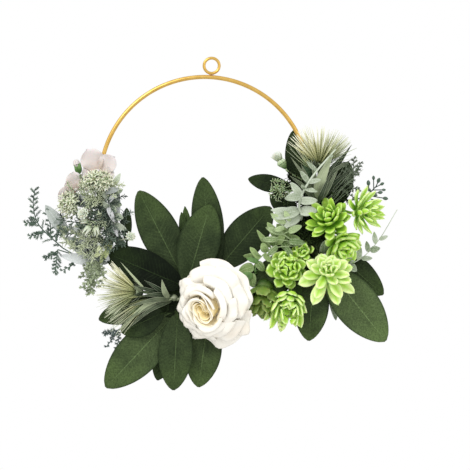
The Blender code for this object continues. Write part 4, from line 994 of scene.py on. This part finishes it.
# ---------------------------------------------------------------- Cedar and needled sprigs
# Injection-moulded plastic greenery: flat cedar fronds of overlapping scales, and finer frosted sprigs, all
# on thin wire twigs.
SPRIGS = {
    # seat, spine, first point of the spine with branches, branch length and count, scale length, twigs as
    # (place along the spine, middle, tip), look
    "cedar_frond_upper": (
        (211, 20),
        ((-112, -6, -73), (-140, -6, -90), (-166, -6, -78), (-193, -8, -52), (-200, -8, -29), (-198, -9, -9)),
        2, 10, 20, 3.2,
        (
            (0.63, (-200, -8, -48), (-209, -8, -49)), (0.56, (-194, -7, -62), (-205, -7, -64)),
            (0.5, (-180, -8, -52), (-186, -8, -34)), (0.52, (-172, -9, -64), (-168, -10, -48)),
        ),
        "cedar",
    ),
    "cedar_frond_lower": (
        (216, 0),
        ((-110, -2, -90), (-133, -2, -97), (-154, -3, -86), (-172, -3, -80), (-175, -5, -108)), 3, 8, 13, 3.0,
        (
            (0.78, (-179, -3, -86), (-187, -3, -90)), (0.52, (-154, -3, -97), (-168, -4, -105)),
        ),
        "cedar",
    ),
    "frosted_sprig": (
        (219, 60), ((-108, -10, -87), (-122, -11, -94), (-131, -12, -111), (-133, -12, -131)), 1, 9, 20, 3.6,
        (
            (0.5, (-136, -11, -101), (-143, -11, -112)), (0.45, (-117, -13, -106), (-121, -14, -124)),
            (0.6, (-133, -14, -113), (-143, -14, -125)), (0.55, (-124, -14, -106), (-126, -15, -120)),
            (0.35, (-128, -13, -96), (-140, -13, -99)),
        ),
        "sage",
    ),
    "grey_sprig_left": (
        (240.5, 20),
        ((-63, -10, -136), (-84, -10.5, -162), (-101, -10, -174), (-117, -8, -178)), 2, 6, 10, 3.0,
        ((0.78, (-107, -9, -183), (-115, -9, -194)), (0.7, (-100, -10, -183), (-103, -10, -195))),
        "grey",
    ),
    "feathery_sprig": (
        (369, 15), ((133, -2, -3), (152, -3, -3), (172, -4, 5), (175, -4, 28)), 1, 8, 18, 3.0,
        (
            (0.7, (179, -4.5, 12), (183, -5, 22)), (0.55, (172, -4, -7), (182, -4, -10)),
            (0.6, (165, -5, 6), (166, -6, 21)), (0.45, (161, -5, -10), (175, -6, -19)),
        ),
        "feathery",
    ),
    "needle_spray_left": (
        (199, 50), ((-118, -9, -40), (-126, -10, -43), (-145, -10, -54), (-168, -9, -59)), 1, 11, 18, 3.4,
        ((0.16, (-140, -9, -35), (-161, -8, -44)), (0.1, (-124, -10, -64), (-143, -9, -76))),
        "frosted",
    ),
}


def frond(points, branch_length, count, needle_length, stout, draw):
    """A twig with side branches to each side in turn, each lined with pairs of small scales: branch k starts
    at an even place along the twig and leans forward, and scale n starts at an even place along it."""
    t = (np.arange(count) + 0.7) / count
    here, along, side, normal = curve_frame(points, t * 0.97)
    hand = np.where(np.arange(count) % 2, 1.0, -1.0)[:, None]
    forward, rise = draw.uniform(0.6, 1.5, (count, 1)), draw.uniform(-0.2, 0.6, (count, 1))
    ways = unit(side * hand + along * forward + normal * rise)
    reach = branch_length * (1 - 0.4 * t) * draw.uniform(0.5, 1.2, count)
    ends = here + ways * reach[:, None]
    paths = bowed(here, ends, along * 0.06 * branch_length)
    twigs = pipe(paths, 0.45, 4, 5, tapered(0.5), tone=0.3)
    pairs = 7
    s = np.repeat(np.linspace(0.12, 1.0, pairs), 2)
    spots, onward, beside, facing = curve_frame(paths, s)
    sign = np.tile([1.0, -1.0], pairs)[:, None]
    scale_ways = unit(onward + beside * sign * draw.uniform(0.5, 1.0, (count, 2 * pairs, 1)) + facing * 0.2)
    scale_reach = needle_length * (1.05 - 0.35 * s)[:, None] * draw.uniform(0.7, 1.2, (count, 2 * pairs, 1))
    scale_paths = bowed(spots, spots + scale_ways * scale_reach, facing * 0.15)
    tone = np.repeat(draw.uniform(0, 1, count), 2 * pairs)
    scales = pipe(scale_paths, needle_length * stout, 3, 4, lambda t: 0.7 + 0.9 * t - 1.3 * t * t, tone=tone)
    rib = pipe(points, 0.8, 16, 6, tapered(0.4), tone=0.2)
    return [twigs, scales, rib]


cedar_green = dusted("blue_green_cedar", (0.018, 0.038, 0.028), (0.065, 0.11, 0.07), (0.24, 0.32, 0.25), 0.45)
frosted_green = dusted("frosted_green_sprig", (0.1, 0.15, 0.06), (0.38, 0.46, 0.24), (0.76, 0.8, 0.6), 0.85)
sage_green = dusted("sage_green_sprig", (0.06, 0.09, 0.04), (0.23, 0.3, 0.16), (0.57, 0.63, 0.44), 0.6)
teal_fern = dusted("dark_teal_fern", (0.008, 0.022, 0.014), (0.08, 0.125, 0.085), (0.36, 0.43, 0.36), 0.4)
grey_fern = dusted("grey_fern", (0.02, 0.035, 0.015), (0.1, 0.14, 0.075), (0.4, 0.46, 0.35), 0.5)
grey_green = dusted("grey_blue_sprig", (0.02, 0.034, 0.03), (0.08, 0.11, 0.095), (0.27, 0.33, 0.31), 0.5)
SPRIG_LOOKS = {
    # finish, slot, thickness of a scale over its length
    "cedar": (cedar_green, "cedar", 0.12), "frosted": (frosted_green, "frosted_sprig", 0.12),
    "grey": (grey_green, "grey_sprig", 0.12), "feathery": (grey_fern, "frosted_sprig", 0.12),
    "sage": (sage_green, "frosted_sprig", 0.15),
}
for number, (name, sprig) in enumerate(SPRIGS.items()):
    place_on_tape, spine, first, branch_length, count, needle_length, twigs, look = sprig
    draw = np.random.default_rng(80 + number)
    skins = [pipe(from_tape(place_on_tape, spine[:first + 1]), 0.9, 14, 8, tapered(0.2))]
    finish, slot, stout = SPRIG_LOOKS[look]
    skins += frond(np.array(spine[first:], float), branch_length, count, needle_length, stout, draw)
    for t, middle, tip in twigs:
        foot = spread(spine, np.array([t]))[0]
        twig = np.array([foot, middle, tip], float)
        skins += frond(twig, branch_length * 0.7, 10, needle_length * 0.9, stout, draw)
    piece_of(name + "_fronds", skins, finish, [name])


# ---------------------------------------------------------------- Ferny filler
# Twigs of soft moulded fern with narrow leaves all round them, that close the gaps between the flowers: dark
# and frosted on the left, dark behind the rosettes. They are bound to the tapes with the rest.
fern_dark = veined_leaf("dark_fern", (0.005, 0.012, 0.003), (0.035, 0.055, 0.018), 8, 0.5)
FERNS = {
    # seat, twigs as (foot, middle, tip), leaf length, leaf width, finish, slot
    "pale_fern_left": ((196, 60), (
        ((-117, -12, -22), (-136, -18, -17), (-159, -16, -13)),
        ((-116, -12, -34), (-143, -18, -37), (-171, -14, -31)),
        ((-110, -12, -55), (-131, -18, -69), (-157, -14, -80)),
        ((-108, -12, -62), (-124, -18, -77), (-138, -16, -90)),
        ((-118, -12, -14), (-131, -20, -8), (-145, -18, -3)),
        ((-117, -12, -20), (-110, -18, -10), (-104, -16, -2)),
        ((-115, -14, -41), (-122, -24, -48), (-133, -26, -64)),
        ((-117, -14, -27), (-126, -24, -22), (-138, -28, -22)),
        ((-112, -12, -50), (-140, -14, -64), (-166, -10, -73)),
        ((-118, -14, -17), (-124, -24, -8), (-131, -26, 1)),
    ), 8.5, 1.9, frosted_green, "frosted_sprig"),
    "dark_fern_left": ((203, 70), (
        ((-117, -10, -26), (-139, -14, -27), (-165, -12, -24)),
        ((-115, -10, -40), (-140, -14, -48), (-173, -12, -45)),
        ((-112, -10, -48), (-136, -14, -57), (-168, -10, -64)),
        ((-108, -12, -57), (-117, -16, -76), (-125, -16, -90)),
        ((-117, -14, -28), (-128, -22, -37), (-138, -22, -55)),
        ((-114, -14, -43), (-115, -22, -57), (-112, -22, -73)),
        ((-110, -12, -51), (-103, -16, -64), (-100, -14, -78)),
        ((-115, -12, -34), (-108, -18, -27), (-103, -16, -17)),
        ((-108, -10, -64), (-126, -12, -73), (-147, -8, -80)),
        ((-115, -12, -36), (-110, -20, -45), (-108, -22, -59)),
        ((-101, -8, -69), (-98, -10, -52), (-94, -10, -36)),
        ((-117, -14, -31), (-122, -22, -36), (-124, -24, -50)),
    ), 8.0, 1.9, teal_fern, "cedar"),
    "dark_fern_right": ((344, 60), (
        ((121, -5, -28), (133, -12, -22), (149, -12, -13)), ((122, -4, -34), (137, -8, -34), (156, -8, -27)),
        ((119, -6, -43), (130, -12, -50), (142, -10, -66)),
        ((116, -6, -50), (114, -14, -62), (119, -14, -78)),
        ((119, -6, -36), (112, -14, -48), (105, -14, -64)), ((121, -5, -22), (137, -12, -10), (161, -10, 1)),
        ((121, -5, -17), (135, -14, -3), (151, -14, 13)), ((116, -6, -52), (133, -10, -66), (151, -8, -80)),
        ((112, -8, -66), (119, -12, -80), (128, -12, -94)), ((108, -8, -71), (95, -12, -78), (86, -12, -87)),
        ((115, -8, -55), (102, -14, -55), (91, -14, -48)), ((121, -5, -13), (109, -12, -3), (98, -10, 4)),
        ((121, -6, -20), (112, -16, -22), (100, -16, -31)),
        ((119, -6, -29), (123, -14, -41), (128, -16, -57)),
        ((112, -8, -64), (123, -14, -69), (137, -14, -87)), ((122, -4, -27), (142, -6, -24), (163, -6, -15)),
    ), 8.0, 2.2, fern_dark, "dark_leaf"),
}


BACK_LEAVES = {
    # wire, then broad dark leaves in order along it as (foot, tip, width)
    "back_leaves_right": (
        (seat(344, 60)[0], (119, -4, -36), (115, -5, -52), (109, -6, -69), (105, -6, -80)),
        (
            ((121, -4, -22), (154, -8, -15), 15), ((119, -4, -24), (147, -9, 8), 16),
            ((121, -4, -31), (158, -7, -36), 16), ((119, -4, -36), (134, -8, -78), 20),
            ((119, -6, -38), (105, -9, -69), 18), ((121, -3, -52), (158, -6, -78), 18),
            ((114, -4, -57), (119, -8, -120), 22), ((112, -5, -64), (79, -8, -78), 16),
            ((116, -6, -64), (137, -8, -104), 20), ((112, -6, -64), (95, -8, -104), 18),
            ((107, -8, -76), (74, -6, -129), 20), ((105, -6, -80), (107, -7, -139), 22),
            ((102, -8, -87), (88, -9, -134), 18), ((98, -8, -87), (81, -9, -143), 18),
        ),
    ),
    "back_leaves_lower": (
        (seat(301, 60)[0], (67, -6, -101), (72, -6, -94)),
        (((65, -6, -99), (49, -9, -112), 11), ((75, -6, -92), (66, -8, -135), 22)),
    ),
    "back_leaves_centre": (
        (seat(262, 90)[0], (-18, -6, -129), (-17, -6, -115), (-16, -6, -104)),
        (
            ((-16, -7, -141), (-63, -10, -149), 26), ((-14, -6, -133), (-56, -9, -124), 22),
            ((-17, -7, -101), (-27, -7, -36), 13), ((-14, -6, -104), (-23, -6, -29), 13),
        ),
    ),
}
FERN_TURN = 2.39996
SIDE_PLACES = np.array([0.25, 0.4, 0.55, 0.7, 0.85])
RUSHES = 18


def spiral_leaves(paths, count, length, width, draw, tones):
    """Narrow leaves all round each twig: leaf n starts at an even place along it, turned by the golden angle
    from the one before, and leans forward."""
    t = (np.arange(count) + 0.6) / count
    here, along, side, normal = curve_frame(paths, t)
    outs = around(side, normal, np.arange(count) * FERN_TURN)
    ways = unit(outs + along * draw.uniform(0.5, 1.1, (len(paths), count, 1)))
    tips = here + ways * length * draw.uniform(0.6, 1.0, (len(paths), count, 1))
    paths = bowed(here, tips, along * 0.05 * length)
    sheet = blade(paths, width, narrow_outline, facing=along.reshape(-1, 3), cup=0.2)
    return wall(sheet, 5, 6, 0.6, tone=np.repeat(tones, count))


for number, (name, (place_on_tape, twigs, length, width, finish, slot)) in enumerate(FERNS.items()):
    draw = np.random.default_rng(90 + number)
    start, way = seat(*place_on_tape)
    mains = np.array(twigs, float)
    here, along, side, normal = curve_frame(mains, SIDE_PLACES)
    hand = np.array([1.0, -1.0, 1.0, -1.0, 1.0])[:, None]
    each = (len(mains), len(SIDE_PLACES), 1)
    ways = unit(side * hand + along * 0.8 + normal * draw.uniform(-0.3, 0.9, each))
    ends = here + ways * draw.uniform(8, 14, each)
    sides = bowed(here, ends)
    main_tones, side_tones = draw.uniform(0, 1, len(mains)), draw.uniform(0, 1, len(sides))
    skins = [
        pipe(bowed(start + way * 2, mains[:, 0]), 0.8, 5, 6, tone=0.2),
        pipe(mains, 0.7, 10, 6, tapered(0.5), tone=0.2),
        pipe(sides, 0.4, 5, 5, tapered(0.5), tone=0.2),
        spiral_leaves(mains, 26, length, width, draw, main_tones),
        spiral_leaves(sides, 12, length * 0.8, width * 0.9, draw, side_tones),
    ]
    piece_of(name, skins, finish, [])
for name, (wire, leaves) in BACK_LEAVES.items():
    piece_of(name, leaves_on_wire(wire, leaves, leaf_outline, 1.0), fern_dark, [])
fresh_leaves = (((56, -20, -110), (40, -22, -111), 9), ((63, -18, -94), (49, -20, -90), 6))
fresh_wire = (seat(301, 60)[0], (61, -12, -104), (59, -18, -106), (60, -18, -97))
piece_of("fresh_leaves_centre", leaves_on_wire(fresh_wire, fresh_leaves, round_outline, 0.5), sepal_green,
         [])

draw = np.random.default_rng(95)
rush_feet = np.array((142, -12, -31), float) + draw.normal(0, 1, (RUSHES, 3)) * np.array([7.0, 3.0, 3.0])
rush_tips = np.array((163, -16, 4), float) + draw.normal(0, 1, (RUSHES, 3)) * np.array([10.0, 4.0, 9.0])
rush_paths = bowed(rush_feet, rush_tips, draw.normal(0, 1.5, (RUSHES, 3)))
rushes = pipe(rush_paths, draw.uniform(0.4, 0.7, RUSHES), 8, 5, tapered(0.6),
              tone=draw.uniform(0.4, 1.0, RUSHES))
piece_of("grey_rushes_right", [rushes], grey_fern, [])


# ---------------------------------------------------------------- Floret clusters
# Domed heads of tiny narrow-petalled florets, cream to green, cut from thin fabric and glued over a small
# core on a wire that is bound to a tape.
CLUSTERS = {
    # centre, radii of the dome, florets, floret size, seat, slot
    "floret_cluster_top": ((-124, -24, 0), (15, 8, 9), 34, 10.0, (180, 90), "floret"),
    "floret_cluster_side": ((-159, -18, -26), (9, 6, 10), 22, 10.0, (189, 50), "floret"),
    "umbel_right": ((88, -10, -10), (12, 7, 11), 18, 6.5, (354, 150), "umbel"),
}
FLORET_PETALS = 6


def soft_petal(name, heart, body, rim):
    """Thin fabric petal: the heart's colour at its foot, then the body's, and the rim's at its end."""
    made = Finish(name, Specular_IOR_Level=0.2, Subsurface_Weight=0.05, Subsurface_Scale=0.004)
    _, along, tone = made.grain()
    cloud = made.noise(240, 3)
    inner = made.mix(made.between(along + cloud * 0.2, 0.15, 0.7), heart, body)
    made.colour(made.mix(made.between(along + cloud * 0.3 + tone * 0.2, 0.8, 1.35), inner, rim))
    made.roughness(0.55 + cloud * 0.15)
    made.relief(made.noise(900, 3), 0.15)
    return made


floret_cream = soft_petal("floret_cream", (0.1, 0.15, 0.04), (0.68, 0.71, 0.52), (0.88, 0.88, 0.76))
floret_green = soft_petal("umbel_green", (0.08, 0.14, 0.04), (0.3, 0.4, 0.2), (0.68, 0.74, 0.56))
for number, (name, (centre, radii, count, size, place_on_tape, slot)) in enumerate(CLUSTERS.items()):
    draw = np.random.default_rng(100 + number)
    centre = np.array(centre, float)
    order = np.arange(count)
    y = 1 - 1.4 * (order + 0.5) / count
    angle = order * GOLDEN_TURN
    ring = np.sqrt(1 - y * y)
    ways = np.stack([ring * np.cos(angle), -y, ring * np.sin(angle)], axis=-1)
    spots = centre + ways * np.array(radii) * draw.uniform(0.7, 1.1, (count, 1))
    ways = unit(ways / np.array(radii) + draw.normal(0, 0.03, ways.shape))
    sideways, upwards, _ = axis_frame(ways, (0.3, 0.2, 0.9))
    turns = full_turn(FLORET_PETALS) + draw.uniform(0, 6.28, (count, 1))
    outs = around(sideways[:, None], upwards[:, None], turns)
    foot = spots[:, None]
    stretch = size * draw.uniform(0.45, 0.8, (count, FLORET_PETALS, 1))
    ends = foot + outs * stretch + ways[:, None] * size * 0.3
    paths = bowed(foot, ends, outs * size * 0.05 - ways[:, None] * size * 0.03)
    facing = np.repeat(ways, FLORET_PETALS, axis=0)
    sheet = blade(paths, size * 0.2, narrow_outline, facing=facing, cup=0.3)
    petals_skin = wall(sheet, 7, 8, 0.6, tone=np.repeat(draw.uniform(0, 1, count), FLORET_PETALS))
    eye_paths = np.stack([spots + ways * h for h in (-0.8, 0.5, 2.2)], axis=1)
    eyes = pipe(eye_paths, size * 0.05, 5, 6, bulb(0.5))
    stalks = pipe(bowed(centre, spots), 0.5, 4, 5, tone=0.0)
    core_path = [centre + FRONT * radii[1] * h for h in (-0.7, 0, 0.3)]
    core = pipe(core_path, min(radii) * 0.4, 8, 12,
                lambda t: 0.25 + 0.75 * np.sin(np.pi * t) - 0.2 * t, tone=0.0)
    stalk = pipe(stem_path(place_on_tape, centre, FRONT), 1.2, 10, 8, tapered(0.3), tone=0.0)
    finish = floret_green if slot == "umbel" else floret_cream
    piece_of(name + "_florets", [petals_skin, eyes, stalks, core, stalk], finish, [name])


# ---------------------------------------------------------------- White blossoms
# Hydrangea-like blossoms of thin white fabric petals with a blush at the heart, glued round a small core on a
# wire that is bound to a tape.
BLOSSOMS = {
    # centre, petals as (tip, width), seat
    "blossom_top": ((-124, -12, 12), (
        ((-137, -17, 37), 27), ((-104, -16, 28), 22), ((-143, -14, 7), 20), ((-105, -13, 6), 16),
    ), (172, 75)),
    "blossom_side": ((-150, -8, -10), (
        ((-153, -12, 11), 20), ((-171, -10, -20), 18), ((-163, -7, -2), 15),
    ), (184, 20)),
}

# A rounded fan: narrow at the foot and nearly round beyond.
fan_outline = leaf_shape(0.16, 1.25, 0.55)
blush = soft_petal("blush_white_petal", (0.52, 0.42, 0.36), (0.65, 0.59, 0.56), (0.71, 0.66, 0.66))
for number, (name, (centre, petals_of, place_on_tape)) in enumerate(BLOSSOMS.items()):
    draw = np.random.default_rng(120 + number)
    centre = np.array(centre, float)
    tips, widths = columns(petals_of)
    paths = bowed(centre, tips, -FRONT * widths[:, None] * 0.1)
    phases = draw.uniform(0, 6, len(tips))
    sheet = blade(paths, widths, fan_outline, cup=0.22, wave=1.2, waves=2.0, phase=phases)
    petals_skin = wall(sheet, 16, 22, 0.7, tone=draw.uniform(0, 1, len(tips)), end=1.0)
    heart_skin = pipe([centre + FRONT * h for h in (-2.5, 0, 2.5)], 2.5, 8, 10, bulb(0.3), tone=0.0)
    stalk = pipe(stem_path(place_on_tape, centre, FRONT), 1.2, 10, 8, tone=0.0)
    piece_of(name + "_petals", [petals_skin, heart_skin, stalk], blush, [name])


# ---------------------------------------------------------------- Buttons, bud and thistle
# Small round heads of foam and flock, cream-green, each a nest of cupped petals on a wire. The bud and the
# thistle are closed: their petals bulge from the foot and meet at the tip, over two green sepals on the bud.
HEADS = {
    # base, tip, width, rings of open petals as (count, rise in degrees, reach), seat, slot
    "blossom_bud": ((-147, -6, 11), (-151, -7, 26), 9, (), (176, 10), "blossom"),
    "button_flower_1": ((-138, -26, -40), (-142, -35, -36), 16,
                        ((11, 5, 1.0), (10, 28, 0.85), (8, 50, 0.7), (5, 72, 0.5)), (195, 95), "button"),
    "button_flower_2": ((-87, -19, -66), (-84, -27, -63), 13, ((10, 8, 1.0), (9, 35, 0.85), (6, 65, 0.6)),
                        (214, 90), "button"),
    "thistle_right": ((95, -9, 15), (81, -10, 34), 12, (), (361, 150), "button"),
}
TUFT_NEEDLES = 60
CLOSED_RINGS = ((9, 1.0), (8, 0.75), (7, 0.5), (5, 0.25))

# Nearly round, with a narrow foot.
petal_outline = leaf_shape(0.2, 1.2, 0.5)
button_cream = soft_petal("button_cream", (0.14, 0.21, 0.08), (0.52, 0.57, 0.42), (0.72, 0.74, 0.66))
for number, (name, (base, tip, width, rings, place_on_tape, slot)) in enumerate(HEADS.items()):
    draw = np.random.default_rng(140 + number)
    base, tip = np.array(base, float), np.array(tip, float)
    axis = unit(tip - base)
    sideways, upwards, _ = axis_frame(axis)
    petal_paths = []
    closed = not rings
    thistle = name == "thistle_right"
    whole = tip
    if thistle:
        tip = base + (tip - base) * 0.55
        axis = unit(tip - base)
    for ring, (count, open_share) in enumerate(CLOSED_RINGS if closed else ()):
        outs = around(sideways, upwards, full_turn(count) + ring * 0.7)
        foot = base + axis + outs * width * 0.1
        belly = (base + tip) / 2 + outs * width * 0.42 * (0.5 + 0.5 * open_share)
        end = tip + outs * width * 0.32 * open_share - axis * (1.5 * open_share)
        petal_paths.append(np.stack([foot, belly, end], axis=1))
    middle = (base + tip) / 2
    for ring, (count, rise, reach) in enumerate(rings):
        angle = (np.arange(count) + draw.uniform(-0.15, 0.15, count)) * 2 * np.pi / count + ring * 0.9
        rise = np.radians(rise + draw.uniform(-6, 6, count))[:, None]
        ways = around(sideways, upwards, angle) * np.cos(rise) + axis * np.sin(rise)
        end = middle + ways * width * 0.52 * reach * draw.uniform(0.85, 1.0, (count, 1))
        petal_paths.append(np.stack([middle + ways * 0.5, (middle + end) / 2 - axis * 0.3, end], axis=1))
    paths = np.concatenate(petal_paths)
    petal_share, plump, short = (0.34, 0.36, 1.0) if closed else (0.24, 0.2, 4.0)
    sheet = blade(paths, width * petal_share, petal_outline, facing=axis, cup=0.25)
    petals_skin = wall(sheet, 9, 8, 0.6, tone=draw.uniform(0, 1, len(paths)))
    heart_path = [base, middle, tip - axis * short]
    heart_skin = pipe(heart_path, width * plump, 8, 12, bulb(0.25, 0.08, 0.84), tone=0.0)
    stalk = pipe(stem_path(place_on_tape, base + axis * 1.5, axis), 1.1, 10, 8, tone=0.0)
    finish = blush if slot == "blossom" else floret_green if thistle else button_cream
    piece_of(name + "_head", [petals_skin, heart_skin, stalk], finish, [name])
    if thistle:
        turns, lean = draw.uniform(0, 6.28, TUFT_NEEDLES), draw.uniform(0, 0.5, (TUFT_NEEDLES, 1))
        outs = around(sideways, upwards, turns)
        tuft_feet = tip - axis * 3 + outs * lean * 5
        reach = (np.linalg.norm(whole - tip) + 2) * draw.uniform(0.7, 1, (TUFT_NEEDLES, 1))
        tuft_paths = bowed(tuft_feet, tuft_feet + unit(axis + outs * lean) * reach, outs * 0.4)
        piece_of("thistle_tuft", [pipe(tuft_paths, 0.45, 5, 5)], button_cream, [name])
bud_foot = np.array((-147, -8, 8), float)
sepal_tips = np.array([(-145, -12, 22), (-152, -12, 19)], float)
bud_paths = bowed(bud_foot, sepal_tips, FRONT * 3.5)
bud_sepals = blade(bud_paths, np.array([6.0, 3.5]), narrow_outline, cup=-0.3)
piece_of("bud_sepals", [wall(bud_sepals, 10, 10, 0.7)], sepal_green, [])


# ---------------------------------------------------------------- Seed sprig and hanging florets
# Thin wires with small moulded seeds on short side wires, and three closed white florets of fabric that hang
# like tulips. Both stems are bound to the tapes.
SEEDS = {
    # seat, spine, seeds or florets as (place along the spine, centre, radius), slot
    "seed_sprig_right": ((356, 350), ((142, 0, -17), (172, 0, -22), (191, -1, -15), (201, -2, -6)), (
        (0.72, (192, -3, -2), 2.3), (1.0, (204, -2, 1), 2.2), (0.9, (198, -3, 4), 1.8),
        (0.95, (208, -3, -3), 1.8), (0.66, (206, -2, -13), 2.0), (0.62, (212, -1, -20), 2.2),
        (0.55, (203, -1, -23), 2.0), (0.8, (193, -4, -10), 1.8), (0.7, (200, -4, -16), 1.8),
        (0.85, (210, -3, -10), 1.6),
    ), "seed"),
    "tulip_florets": ((206, 85), ((-116, -15, -52), (-123, -21, -48), (-128, -25, -47)), (
        (1.0, (-135, -27, -56), 3.8), (0.9, (-125, -27, -57), 3.4), (1.0, (-138, -26, -47), 2.6),
    ), "button"),
}
TULIP_PETALS = 6
seed_green = dusted("seed_grey_green", (0.012, 0.028, 0.02), (0.05, 0.085, 0.06), (0.24, 0.3, 0.25), 0.3)
for name, (place_on_tape, spine, seeds, slot) in SEEDS.items():
    places, centres, radii = columns(seeds)
    feet = spread(spine, places)
    ways = unit(centres - feet)
    skins = [
        pipe(from_tape(place_on_tape, spine), 0.9, 20, 8, tapered(0.3), tone=0.2),
        pipe(bowed(feet, centres), 0.6, 5, 6, tone=0.2),
    ]
    reach = ways * radii[:, None]
    if slot == "seed":
        lengths = bowed(centres - reach * 1.5, centres + reach * 1.5)
        skins.append(pipe(lengths, radii, 12, 12, bulb(0.12, power=0.7), tone=0.8))
    else:
        sideways, upwards, _ = axis_frame(ways, FRONT)
        outs = around(sideways[:, None], upwards[:, None], full_turn(TULIP_PETALS)) * radii[:, None, None]
        bellies = (centres - reach * 0.4)[:, None] + outs * 0.75
        ends = (centres + reach * 2.2)[:, None] + outs * 1.05
        tops = np.broadcast_to((centres - reach * 1.4)[:, None], ends.shape)
        paths = np.stack([tops, bellies, ends], axis=2).reshape(-1, 3, 3)
        facing = -np.repeat(ways, TULIP_PETALS, axis=0)
        sheet = blade(paths, np.repeat(radii, TULIP_PETALS) * 1.2, narrow_outline, facing=facing, cup=0.2)
        skins.append(wall(sheet, 10, 10, 0.6, tone=np.tile([0.2, 0.8], len(seeds) * TULIP_PETALS // 2)))
    piece_of(name + "_seeds", skins, seed_green if slot == "seed" else button_cream, [name])


# ---------------------------------------------------------------- Stage
# A plain pale floor well below the hanging wreath, large soft lights, a white surrounding and a camera that
# frames the wreath as the photograph does: PIXEL is a pixel's size in mm, and the hub's place is in pixels.
floor_mesh = bpy.data.meshes.new("floor")
FLOOR_HALF, FLOOR_HEIGHT = 25, -4
floor_signs = ((-1, -1), (1, -1), (1, 1), (-1, 1))
floor_corners = [(x * FLOOR_HALF, y * FLOOR_HALF, FLOOR_HEIGHT) for x, y in floor_signs]
floor_mesh.from_pydata(floor_corners, [], [(0, 1, 2, 3)])
floor = bpy.data.objects.new("floor", floor_mesh)
bpy.context.scene.collection.objects.link(floor)
floor_paint = Finish("pale_floor", Roughness=0.9)
floor_paint.colour(floor_paint.mix(floor_paint.noise(3), (0.95, 0.95, 0.96), (0.98, 0.98, 0.98)))
floor_mesh.materials.append(floor_paint.material)

world = bpy.data.worlds.new("studio")
bpy.context.scene.world = world
world.use_nodes = True
sky = world.node_tree.nodes["Background"]
sky.inputs["Color"].default_value = (1.0, 1.0, 1.0, 1.0)
sky.inputs["Strength"].default_value = 1.0

bpy.context.scene.view_settings.view_transform = "Standard"
LIGHTS = {
    # place, size and power in watts; all of them aim at the middle of the wreath
    "key": ((-1.0, -1.5, 1.2), 0.8, 23),
    "fill": ((1.3, -1.4, 0.2), 1.2, 6),
}
middle = HUB + np.array([30, 0, -60]) * MM
for light_name, (spot, size, power) in LIGHTS.items():
    lamp = bpy.data.lights.new(light_name, "AREA")
    lamp.size = size
    lamp.energy = power
    lit = bpy.data.objects.new(light_name, lamp)
    lit.location = spot
    lit.rotation_euler = Vector(middle - np.array(spot)).to_track_quat("-Z", "Y").to_euler()
    bpy.context.scene.collection.objects.link(lit)

PHOTO_SIZE = 470
PIXEL = 1.1667
HUB_ACROSS, HUB_DOWN = 204.4, 181.1
VIEW_WIDTH = PHOTO_SIZE * PIXEL * MM
VIEW_MIDDLE = HUB + np.array([
    (PHOTO_SIZE / 2 - HUB_ACROSS) * PIXEL, -12, (HUB_DOWN - PHOTO_SIZE / 2) * PIXEL
]) * MM
VIEW_DISTANCE = 2.2
SENSOR_WIDTH = 36.0
lens = bpy.data.cameras.new("photo_camera")
lens.sensor_width = SENSOR_WIDTH
lens.lens = SENSOR_WIDTH * VIEW_DISTANCE / VIEW_WIDTH
camera = bpy.data.objects.new("photo_camera", lens)
camera.location = VIEW_MIDDLE + FRONT * VIEW_DISTANCE
camera.rotation_euler = (math.radians(90), 0, 0)
bpy.context.scene.collection.objects.link(camera)
bpy.context.scene.camera = camera
